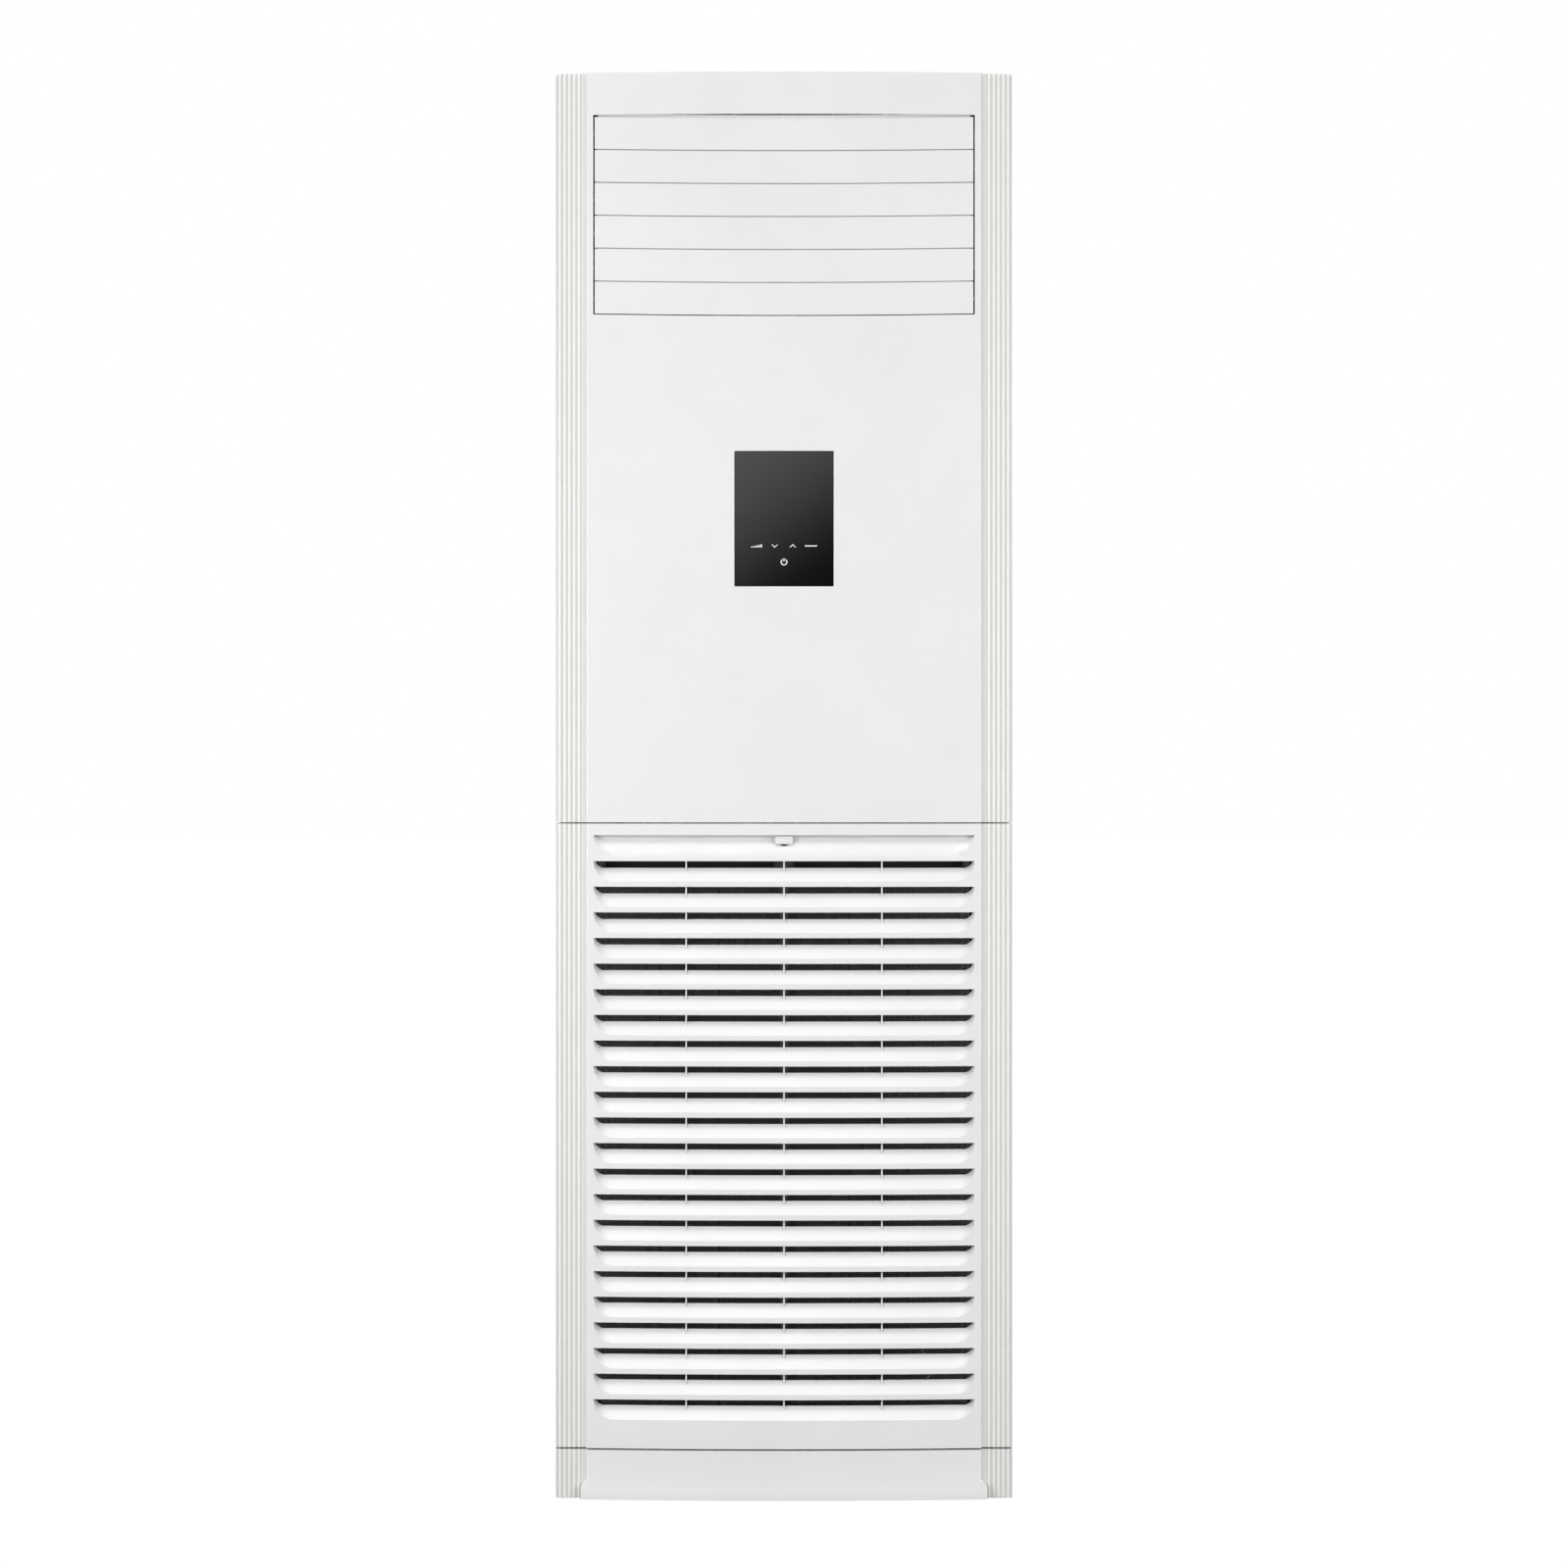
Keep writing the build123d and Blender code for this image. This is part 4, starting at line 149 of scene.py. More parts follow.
@dataclass(frozen=True)
class Finish:
    """What every finish has: a name, a colour, how it answers light and how its pattern shows."""

    name: str
    colour: str
    roughness: float
    metallic: float = 0.0
    ior: float = 1.5
    dark: str = "#808284"  # colour where the pattern is 0; the finish's own is where it is 1
    spread: float = 0.05  # how far the pattern moves the roughness to each side
    relief_mm: float = 0.02  # height of the pattern
    relief_share: float = 0.5  # how much of that height shows

    def material(self) -> Material:
        """Make the material, or find it where another piece has it already.

        Returns:
            The material with its pattern.
        """
        found = bpy.data.materials.get(self.name)
        if found:
            return found
        work = NodeWork(bpy.data.materials.new(self.name))
        work.place = work.add("ShaderNodeTexCoord").outputs["Object"]
        looks = {
            "Base Color": linear(self.colour),
            "Roughness": self.roughness,
            "Metallic": self.metallic,
            "IOR": self.ior,
        }
        work.shader = work.add("ShaderNodeBsdfPrincipled", looks)
        work.add("ShaderNodeOutputMaterial", {"Surface": work.shader})
        self.detail(work)
        return work.owner

    def detail(self, work: NodeWork) -> None:
        """Add what this finish shows on top of its plain colour.

        Args:
            work: The material in the making.
        """

    def vary(self, work: NodeWork, amount: Pattern) -> NodeSocket:
        """Let a pattern shift the colour and the gloss a little.

        Args:
            work: The material in the making.
            amount: The pattern, from 0 to 1.

        Returns:
            The mixed colour.
        """
        dull, bright = self.roughness + self.spread, self.roughness - self.spread
        gloss = work.add("ShaderNodeMapRange", {"Value": amount, "To Min": dull, "To Max": bright})
        work.link(gloss, work.shader.inputs["Roughness"])
        tones = {SHARE: amount, COLOUR_LOW: linear(self.dark), COLOUR_HIGH: linear(self.colour)}
        tone = work.add("ShaderNodeMix", tones, data_type="RGBA").outputs[COLOUR_OUT]
        work.link(tone, work.shader.inputs["Base Color"])
        return tone

    def relief(self, work: NodeWork, height: Pattern) -> None:
        """Raise the surface by a pattern.

        Args:
            work: The material in the making.
            height: The pattern, from 0 to 1.
        """
        rise = {"Distance": self.relief_mm * MM, "Strength": self.relief_share}
        bump = work.add("ShaderNodeBump", {"Height": height, **rise})
        work.link(bump, work.shader.inputs["Normal"])


@dataclass(frozen=True)
class MouldedShell(Finish):
    """Moulded ABS with a fine spark-eroded skin, a touch warmer on the fluted strips, with painted
    highlights on their ridges, painted shade in their grooves and painted shade in crevices.
    """

    dark: str = "#E2E2E2"
    spread: float = 0.03
    relief_mm: float = 0.01
    relief_share: float = 0.2
    # painted shade in the strips' grooves and painted highlight on their ridges, around the strips'
    # own warmer white
    groove_shade: str = "#CECECC"
    ridge_highlight: str = "#F9F8F6"
    strip_from_mm: float = 256.6
    ridges_from_mm: float = 263.3
    ridge_at_mm: float = 266.4
    ridge_pitch_mm: float = 6.2
    groove_below: float = -0.6  # cosine along the pitch where the painted groove shade is full
    ridge_above: float = 0.9  # and where the painted ridge highlight is
    plain_share: float = 0.55  # tone of the strip beside its ridges, from groove to ridge
    # painted shade: the tone of crevices, where little open sky reaches
    crevice_shade: str = "#BABAB9"
    crevice_mm: float = 4.5
    shaded_below: float = 0.1  # share of open sky where the painted crevice shade is full
    unshaded_above: float = 0.7  # and where it is gone
    grain_mm: float = 1.2  # the real grain of 0.1 mm wouldn't show
    flow_mm: float = 140.0

    def detail(self, work: NodeWork) -> None:
        """Add the grain, the slow shift of the gloss, the warmer strips with their painted ridge
        highlights and groove shade, and painted shade in crevices.

        Args:
            work: The material in the making.
        """
        flow = {"Detail": 3.0, "Roughness": 0.6}
        panel = self.vary(work, work.add("ShaderNodeTexNoise", flow, self.flow_mm))
        across = work.add("ShaderNodeSeparateXYZ", {0: work.place})
        side = work.add("ShaderNodeMath", {0: across}, operation="ABSOLUTE")
        strip, ridged = [
            work.add("ShaderNodeMath", {0: side, 1: start * MM}, operation="GREATER_THAN")
            for start in (self.strip_from_mm, self.ridges_from_mm)
        ]
        turns = math.tau / (self.ridge_pitch_mm * MM)
        # painted highlight on each ridge and painted shade in each groove, by a cosine across the
        # strip
        phase = work.add(
            "ShaderNodeMath",
            {0: side, 1: turns, 2: -self.ridge_at_mm * MM * turns},
            operation="MULTIPLY_ADD",
        )
        wave = work.add("ShaderNodeMath", {0: phase}, operation="COSINE")
        crest = work.add(
            "ShaderNodeMapRange",
            {"Value": wave, "From Min": self.groove_below, "From Max": self.ridge_above},
        )
        height = work.add(
            "ShaderNodeMix", {SHARE: ridged, NUMBER_LOW: self.plain_share, NUMBER_HIGH: crest}
        )
        # painted shade in crevices, from how much open sky each point sees
        reach = work.add(
            "ShaderNodeAmbientOcclusion", {"Distance": self.crevice_mm * MM}, samples=8
        )
        sky = work.add(
            "ShaderNodeMapRange",
            {
                "Value": reach.outputs["AO"],
                "From Min": self.shaded_below,
                "From Max": self.unshaded_above,
            },
        )
        # mix in turn: painted ridge highlight over groove shade, the strip over the panel, painted
        # crevice shade
        tone = linear(self.ridge_highlight)
        groove_shade, crevice_shade = linear(self.groove_shade), linear(self.crevice_shade)
        for share, low in ((height, groove_shade), (strip, panel), (sky, crevice_shade)):
            tones = {SHARE: share, COLOUR_LOW: low, COLOUR_HIGH: tone}
            tone = work.add("ShaderNodeMix", tones, data_type="RGBA").outputs[COLOUR_OUT]
        work.link(tone, work.shader.inputs["Base Color"])
        self.relief(work, work.add("ShaderNodeTexNoise", {"Detail": 2.0}, self.grain_mm))


@dataclass(frozen=True)
class GrilleShell(MouldedShell):
    """The same shell, with painted shade on its inner side: dark behind the slotted part, where the
    slots show the shaded inside.
    """

    # painted shade: the dark tone seen through the slots
    inner_shade: str = "#242526"
    shade_behind_mm: float = 12.6
    shade_within_mm: float = 256.0

    def detail(self, work: NodeWork) -> None:
        """Add the shell's own detail, then darken what lies behind the slotted part with painted
        shade.

        Args:
            work: The material in the making.
        """
        super().detail(work)
        shell = work.shader.inputs["Base Color"].links[0].from_socket
        shift = -(PANEL_FRONT_MM + PANEL_RADIUS_MM) * MM  # to the middle of the crown
        axis = work.add(
            "ShaderNodeVectorMath",
            {0: work.place, 1: (1.0, 1.0, 0.0), 2: (0.0, shift, 0.0)},
            operation="MULTIPLY_ADD",
        )
        radius = work.add("ShaderNodeVectorMath", {0: axis}, operation="LENGTH")
        behind = work.add(
            "ShaderNodeMath",
            {0: radius.outputs["Value"], 1: (PANEL_RADIUS_MM - self.shade_behind_mm) * MM},
            operation="LESS_THAN",
        )
        across = work.add("ShaderNodeSeparateXYZ", {0: work.place})
        side = work.add("ShaderNodeMath", {0: across}, operation="ABSOLUTE")
        within = work.add(
            "ShaderNodeMath", {0: side, 1: self.shade_within_mm * MM}, operation="LESS_THAN"
        )
        # painted shade behind the slotted part, within the slotted width
        both = work.add("ShaderNodeMath", {0: behind, 1: within}, operation="MULTIPLY")
        tones = {SHARE: both, COLOUR_LOW: shell, COLOUR_HIGH: linear(self.inner_shade)}
        tone = work.add("ShaderNodeMix", tones, data_type="RGBA").outputs[COLOUR_OUT]
        work.link(tone, work.shader.inputs["Base Color"])


@dataclass(frozen=True)
class SatinPlastic(Finish):
    """Plain moulded plastic of the inner pieces, with a soft grain and faint flow marks."""

    spread: float = 0.06
    relief_mm: float = 0.03
    grain_mm: float = 1.2
    flow_mm: float = 35.0

    def detail(self, work: NodeWork) -> None:
        """Add the grain and the flow marks.

        Args:
            work: The material in the making.
        """
        flow = {"Detail": 4.0, "Distortion": 0.6}
        self.vary(work, work.add("ShaderNodeTexNoise", flow, self.flow_mm))
        self.relief(work, work.add("ShaderNodeTexNoise", {"Detail": 1.0}, self.grain_mm))


@dataclass(frozen=True)
class PowderCoat(Finish):
    """Powder coated sheet steel: an even white skin with the orange peel of the baked coat."""

    dark: str = "#DFDFDD"
    relief_mm: float = 0.05
    peel_mm: float = 3.2
    cloud_mm: float = 220.0

    def detail(self, work: NodeWork) -> None:
        """Add the orange peel and the slow clouding of the coat.

        Args:
            work: The material in the making.
        """
        self.vary(work, work.add("ShaderNodeTexNoise", {"Detail": 2.0}, self.cloud_mm))
        peel = {"Detail": 1.0, "Roughness": 0.4}
        self.relief(work, work.add("ShaderNodeTexNoise", peel, self.peel_mm))


@dataclass(frozen=True)
class HotDipZinc(Finish):
    """Galvanised sheet steel: flat crystals of zinc that catch the light each in their own way."""

    dark: str = "#8B9094"
    spread: float = 0.1
    relief_share: float = 0.4
    spangle_mm: float = 11.0
    ragged_mm: float = 5.0  # how far the edges of the crystals wander
    scratch_mm: float = 0.9
    along: float = 0.04  # a scratch is 25 times as long as it is wide

    def detail(self, work: NodeWork) -> None:
        """Add the spangle and the fine rolling scratches.

        Args:
            work: The material in the making.
        """
        wander = work.add("ShaderNodeTexNoise", size_mm=self.spangle_mm)
        warped = work.add(
            "ShaderNodeVectorMath",
            {0: wander.outputs["Color"], 1: (self.ragged_mm * MM,) * 3, 2: work.place},
            operation="MULTIPLY_ADD",
        )
        crystal = work.add("ShaderNodeTexVoronoi", {"Vector": warped}, self.spangle_mm)
        self.vary(work, work.add("ShaderNodeSeparateColor", {0: crystal.outputs["Color"]}))
        rolled = work.add(
            "ShaderNodeMapping", {"Vector": work.place, "Scale": (1.0, 1.0, self.along)}
        )
        lines = {"Vector": rolled, "Detail": 3.0}
        self.relief(work, work.add("ShaderNodeTexNoise", lines, self.scratch_mm))


@dataclass(frozen=True)
class TurnedSteel(Finish):
    """Turned and bright plated metal of screws, shaft and unions, with fine marks of the tool."""

    dark: str = "#7C7F82"
    spread: float = 0.08
    relief_share: float = 0.3
    ring_mm: float = 0.7

    def detail(self, work: NodeWork) -> None:
        """Add the tool's fine marks.

        Args:
            work: The material in the making.
        """
        marks = work.add("ShaderNodeTexNoise", {"Detail": 4.0}, self.ring_mm)
        self.vary(work, marks)
        self.relief(work, marks)


@dataclass(frozen=True)
class FinPack(Finish):
    """Rolled aluminium fins set edge on: fine upright lines, bright at each edge."""

    dark: str = "#4C5053"
    spread: float = 0.12
    relief_mm: float = 0.4
    relief_share: float = 1.0
    pitch_mm: float = 2.5  # the real 1.6 mm would blur
    wave_mm: float = 9.0

    def detail(self, work: NodeWork) -> None:
        """Add the lines of the fins and their slight bends.

        Args:
            work: The material in the making.
        """
        lines = work.add(
            "ShaderNodeTexWave",
            {"Distortion": 0.4, "Detail Scale": self.pitch_mm / self.wave_mm},
            self.pitch_mm / WAVE_PERIOD,
            wave_type="BANDS",
            bands_direction="X",
        )
        self.vary(work, lines.outputs["Fac"])
        self.relief(work, lines.outputs["Fac"])


@dataclass(frozen=True)
class DrawnTube(Finish):
    """Drawn copper tube: bright and streaked along its length, tarnished in clouds."""

    dark: str = "#8A4E36"
    spread: float = 0.1
    tarnish_mm: float = 18.0
    streak_mm: float = 1.5
    along: float = 0.03  # a streak is 33 times as long as it is wide

    def detail(self, work: NodeWork) -> None:
        """Add the tarnish and the drawing streaks.

        Args:
            work: The material in the making.
        """
        self.vary(work, work.add("ShaderNodeTexNoise", {"Detail": 5.0}, self.tarnish_mm))
        drawn = work.add(
            "ShaderNodeMapping", {"Vector": work.place, "Scale": (1.0, 1.0, self.along)}
        )
        streaks = {"Vector": drawn, "Detail": 2.0}
        self.relief(work, work.add("ShaderNodeTexNoise", streaks, self.streak_mm))


@dataclass(frozen=True)
class BeadFoam(Finish):
    """Expanded polystyrene: a matt skin of pressed beads with dark joints between them."""

    dark: str = "#CFCFCB"
    spread: float = 0.02
    relief_mm: float = 0.25
    relief_share: float = 0.7
    bead_mm: float = 4.0
    joint_share: float = 0.12  # of a bead

    def detail(self, work: NodeWork) -> None:
        """Add the beads.

        Args:
            work: The material in the making.
        """
        beads = work.add(
            "ShaderNodeTexVoronoi", size_mm=self.bead_mm, feature="DISTANCE_TO_EDGE"
        )
        joint = work.add(
            "ShaderNodeMapRange",
            {"Value": beads.outputs["Distance"], "From Min": 0.0, "From Max": self.joint_share},
        )
        self.vary(work, joint)
        self.relief(work, joint)


@dataclass(frozen=True)
class FilterNet(Finish):
    """Woven filter net in its moulded frame: dark threads with open meshes between them."""

    relief_mm: float = 0.2
    relief_share: float = 0.6
    middle_mm: float = -161.5  # depth of the net's middle
    half_mm: float = 0.9
    pitch_mm: float = 2.2  # the real mesh of 1 mm would blur
    thread: float = 0.56  # share of the pitch

    def detail(self, work: NodeWork) -> None:
        """Open the meshes of the net and leave the frame and its bars whole.

        Args:
            work: The material in the making.
        """
        axes = work.add("ShaderNodeSeparateXYZ", {0: work.place})
        threads = {}
        for number, axis in enumerate("XZ"):
            count = work.add(
                "ShaderNodeMath", {0: axes.outputs[axis], 1: self.pitch_mm * MM}, operation="DIVIDE"
            )
            turn = work.add("ShaderNodeMath", {0: count}, operation="FRACT")
            threads[number] = work.add(
                "ShaderNodeMath", {0: turn, 1: self.thread}, operation="LESS_THAN"
            )
        woven = work.add("ShaderNodeMath", threads, operation="MAXIMUM")
        depth = work.add(
            "ShaderNodeMath", {0: axes.outputs["Y"], 1: -self.middle_mm * MM}, operation="ADD"
        )
        away = work.add("ShaderNodeMath", {0: depth}, operation="ABSOLUTE")
        whole = work.add(
            "ShaderNodeMath", {0: away, 1: self.half_mm * MM}, operation="GREATER_THAN"
        )
        shown = work.add("ShaderNodeMath", {0: woven, 1: whole}, operation="MAXIMUM")
        work.link(shown, work.shader.inputs["Alpha"])
        self.relief(work, woven)


@dataclass(frozen=True)
class TintedGlass(Finish):
    """Black backed glass, with a painted reflection that lightens it towards its upper left corner.
    """

    # colour of the painted reflection at the upper left corner
    light: str = "#494949"
    painted_reflection_share: float = 0.95  # of the way from corner to corner, where the painted reflection ends
    smear_mm: float = 25.0
    smear: float = 0.04  # what a smear adds to the roughness
    specular: float = 0.06  # a coated pane, which mirrors little

    def detail(self, work: NodeWork) -> None:
        """Add the painted reflection: a slow change from the upper left corner to the lower right
        one.

        Args:
            work: The material in the making.
        """
        top = GLASS_MIDDLE_MM + GLASS_HEIGHT_MM / 2
        start = work.add(
            "ShaderNodeVectorMath",
            {0: work.place, 1: (-GLASS_WIDTH_MM / 2 * MM, 0.0, top * MM)},
            operation="SUBTRACT",
        )
        reach = (GLASS_WIDTH_MM**2 + GLASS_HEIGHT_MM**2) * MM
        away = work.add(
            "ShaderNodeVectorMath",
            {0: start, 1: (GLASS_WIDTH_MM / reach, 0.0, -GLASS_HEIGHT_MM / reach)},
            operation="DOT_PRODUCT",
        )
        ease = work.add(
            "ShaderNodeMapRange",
            {"Value": away.outputs["Value"], "From Min": 0.0, "From Max": self.painted_reflection_share},
            interpolation_type="SMOOTHSTEP",
        )
        # painted reflection: lighter at the upper left, the glass's own black at the lower right
        tones = {SHARE: ease, COLOUR_LOW: linear(self.light), COLOUR_HIGH: linear(self.colour)}
        tone = work.add("ShaderNodeMix", tones, data_type="RGBA").outputs[COLOUR_OUT]
        work.link(tone, work.shader.inputs["Base Color"])
        smears = work.add("ShaderNodeTexNoise", {"Detail": 2.0}, self.smear_mm)
        dull = self.roughness + self.smear
        gloss = work.add(
            "ShaderNodeMapRange", {"Value": smears, "To Min": self.roughness, "To Max": dull}
        )
        work.link(gloss, work.shader.inputs["Roughness"])
        work.shader.inputs["Specular IOR Level"].default_value = self.specular


@dataclass(frozen=True)
class Laminate(Finish):
    """Glass fibre laminate with a green mask over fine copper tracks."""

    dark: str = "#3E8A5C"  # the tracks, in fact lighter than the mask
    relief_mm: float = 0.05
    relief_share: float = 0.4
    pitch_mm: float = 2.5
    track_share: float = 0.05  # of the pitch, from a track's middle to its edge
    mask_share: float = 0.15  # and to where the mask's colour is full

    def detail(self, work: NodeWork) -> None:
        """Add the tracks.

        Args:
            work: The material in the making.
        """
        tracks = work.add(
            "ShaderNodeTexVoronoi",
            size_mm=self.pitch_mm,
            distance="CHEBYCHEV",
            feature="DISTANCE_TO_EDGE",
        )
        mask = work.add(
            "ShaderNodeMapRange",
            {
                "Value": tracks.outputs["Distance"],
                "From Min": self.track_share,
                "From Max": self.mask_share,
            },
        )
        self.vary(work, mask)
        self.relief(work, mask)


# the finish of each of the record's material slots, with what it gives the eye
SLOT_FINISH: dict[str, Finish] = {
    # injection moulded ABS: satin, even and near white, the whole front of the object
    "white_shell": MouldedShell("moulded_abs_white", "#EBEBEB", 0.36, ior=1.54),
    # powder coated steel: the same white, a little flatter and with orange peel
    "painted_steel": PowderCoat("powder_coated_steel", "#E7E7E5", 0.42),
    # hot dip galvanised steel: cool grey crystals, seen inside and at the foot
    "zinc_steel": HotDipZinc("galvanised_steel", "#B4B9BC", 0.42, metallic=0.9),
    # bright zinc plated steel: sharp glints on the screw heads
    "screw_steel": TurnedSteel("zinc_plated_steel", "#B9BBBC", 0.28, metallic=1.0),
    # enamelled steel of the motors: soft grey that shows the ribs
    "motor_steel": SatinPlastic(
        "enamelled_motor_steel", "#6E7174", 0.38, metallic=0.3, dark="#5A5D60"
    ),
    # black backed glass: deep and smooth, with a soft painted reflection
    "black_glass": TintedGlass("black_backed_glass", "#040405", 0.06, ior=1.52),
    # polypropylene of scroll ring, impeller and pan: dull mid grey
    "grey_plastic": SatinPlastic("moulded_polypropylene", "#5E6063", 0.5, ior=1.49, dark="#525457"),
    # acetal of bushes, links and terminals: smooth and near black
    "bush_plastic": SatinPlastic("moulded_acetal", "#2A2B2D", 0.32, ior=1.48, dark="#222325"),
    # nylon net and its frame: nearly black, so the openings read dark
    "filter_plastic": FilterNet("woven_nylon_net", "#1B1C1E", 0.6, ior=1.53),
    # rolled aluminium: fine bright lines
    "fin_aluminium": FinPack("rolled_aluminium_fins", "#C9CCCE", 0.34, metallic=0.9),
    # drawn copper: warm, streaked and slightly tarnished
    "copper": DrawnTube("drawn_copper", "#C77A56", 0.3, metallic=1.0),
    # machined brass: yellow with fine tool marks
    "brass": TurnedSteel("machined_brass", "#C9A45A", 0.26, metallic=1.0, dark="#A17F3C"),
    # expanded polystyrene: matt white beads
    "foam": BeadFoam("expanded_polystyrene", "#E9E9E6", 0.85),
    # vulcanised rubber: dead black with a dusty grain
    "rubber": SatinPlastic("vulcanised_rubber", "#232323", 0.75, ior=1.52, dark="#1A1A1A"),
    # circuit laminate: green mask over copper
    "circuit_laminate": Laminate("circuit_laminate", "#17492F", 0.35),
}
# the grille's moulding: the same shell, with painted shade behind the slotted part
GRILLE_SHELL = GrilleShell("moulded_abs_grille", "#EBEBEB", 0.36, ior=1.54)
# screen printed enamel ink of the touch marks: flat near white
MARK_INK = SatinPlastic("screen_printed_ink", "#FFFFFF", 0.5, dark="#F4F4F4", grain_mm=0.4)


# ------------------------------------ making pieces


def facing(x: float, z: float) -> Matrix:
    """Turn a flat shape to the front and set it at a place.

    Args:
        x: Place across the front, in millimetres.
        z: Height, in millimetres.

    Returns:
        The matrix that does it.
    """
    return Matrix.Translation((x * MM, 0, z * MM)) @ Matrix.Rotation(math.pi / 2, 4, "X")


def break_edges(
    mesh: BMesh,
    geom: list,
    size_mm: float,
    segments: int = 2,
    affect: str = "EDGES",
    clamped: bool = False,
) -> None:
    """Bevel edges or corners.

    Args:
        mesh: The shape.
        geom: Its edges or corners.
        size_mm: Width of the bevel on each side.
        segments: Steps across the bevel.
        affect: Whether edges or vertices are bevelled.
        clamped: Whether the bevel gives way where two of them would meet.
    """
    bmesh.ops.bevel(
        mesh,
        geom=geom,
        offset=size_mm * MM,
        offset_type="OFFSET",
        affect=affect,
        segments=segments,
        profile=0.5,
        material=-1,
        clamp_overlap=clamped,
        loop_slide=clamped,
    )


def extrude(mesh: BMesh, faces: list, by_mm: float) -> list[BMVert]:
    """Extrude faces along Y.

    Args:
        mesh: The shape.
        faces: The faces to extrude.
        by_mm: How far, towards the back.

    Returns:
        The vertices that moved.
    """
    made = bmesh.ops.extrude_face_region(mesh, geom=faces)
    moved = [v for v in made["geom"] if isinstance(v, BMVert)]
    bmesh.ops.translate(mesh, verts=moved, vec=(0, by_mm * MM, 0))
    return moved


def thicken(mesh: BMesh, by_mm: float) -> None:
    """Give a flat shape its thickness.

    Args:
        mesh: The shape.
        by_mm: Its thickness, towards the back.
    """
    extrude(mesh, mesh.faces[:], by_mm)
    bmesh.ops.recalc_face_normals(mesh, faces=mesh.faces)


def place_piece(
    mesh: BMesh, name: str, body: str, slot: str, finish: Finish | None = None
) -> Object:
    """Turn a bmesh into a finished piece that rides on a body.

    Args:
        mesh: The piece's shape, in metres and in place. It is freed.
        name: Name of the piece.
        body: Name of the CAD body that carries it.
        slot: The record's material slot it takes its finish from.
        finish: Its finish, where that isn't the slot's own.

    Returns:
        The new object.
    """
    for face in mesh.faces:
        face.smooth = True
    for edge in mesh.edges:
        edge.smooth = edge.is_manifold and edge.calc_face_angle(0.0) < CRISP
    data = bpy.data.meshes.new(name)
    mesh.to_mesh(data)
    mesh.free()
    for layer in ("custom_normal", "sharp_face"):
        if layer in data.attributes:
            data.attributes.remove(data.attributes[layer])
    piece = bpy.data.objects.new(name, data)
    bpy.context.scene.collection.objects.link(piece)
    data.materials.append((finish or SLOT_FINISH[slot]).material())
    even = piece.modifiers.new("even_shading", "WEIGHTED_NORMAL")
    even.keep_sharp = True
    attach(piece, body)
    return piece


def merged_copy(node: str) -> BMesh:
    """Copy a CAD node's mesh, joined up and with its flat faces whole.

    Args:
        node: Name of the CAD node.

    Returns:
        The copy.
    """
    mesh = bmesh.new()
    mesh.from_mesh(frame["nodes"][node].data)
    bmesh.ops.remove_doubles(mesh, verts=mesh.verts, dist=WELD)
    bmesh.ops.dissolve_limit(mesh, angle_limit=FLAT, verts=mesh.verts, edges=mesh.edges)
    return mesh


@dataclass
class SoftEdged:
    """A CAD node shown with its hard edges broken, as a mould or a fold leaves them."""

    node: str
    body: str
    slot: str
    edge_mm: float
    finish: Finish | None = None
    sharp_deg: float = 38.0

    def build(self) -> Object:
        """Copy the node, round its edges and let the copy stand for it.

        Returns:
            The new piece.
        """
        mesh = merged_copy(self.node)
        sharp = math.radians(self.sharp_deg)
        edges = [e for e in mesh.edges if e.is_manifold and e.calc_face_angle(0.0) > sharp]
        break_edges(mesh, edges, self.edge_mm, clamped=True)
        piece = place_piece(mesh, f"{self.node}_shown", self.body, self.slot, self.finish)
        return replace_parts(piece, self.node)


@dataclass
class FrontMouldings:
    """Upper panel, intake grille, plinth and latch tab."""

    edge_mm: float = 0.6
    fine_edge_mm: float = 0.4

    def build(self) -> list[Object]:
        """Make the four mouldings with soft edges.

        Returns:
            The new pieces.
        """
        rows = [
            ("upper_front_panel", "cabinet", self.edge_mm, None),
            ("intake_grille", "grille", self.fine_edge_mm, GRILLE_SHELL),
            ("plinth", "cabinet", self.edge_mm, None),
            ("latch_tab", "latch", self.fine_edge_mm, None),
        ]
        return [
            SoftEdged(node, body, "white_shell", edge, finish).build()
            for node, body, edge, finish in rows
        ]


@dataclass
class LouvreBank:
    """The overlapping blades of the outlet and the upright vanes behind them."""

    louvres: int = 6
    vanes: int = 7
    edge_mm: float = 0.5

    def build(self) -> list[Object]:
        """Make each blade with soft edges.

        Returns:
            The new pieces.
        """
        names = [f"louvre_{n}" for n in range(1, self.louvres + 1)]
        names += [f"vane_{n}" for n in range(1, self.vanes + 1)]
        return [SoftEdged(name, name, "white_shell", self.edge_mm).build() for name in names]


class Mark(Enum):
    """Touch marks printed on the display."""

    BARS = "bars"
    DOWN = "down"
    UP = "up"
    DOTS = "dots"
    POWER = "power"


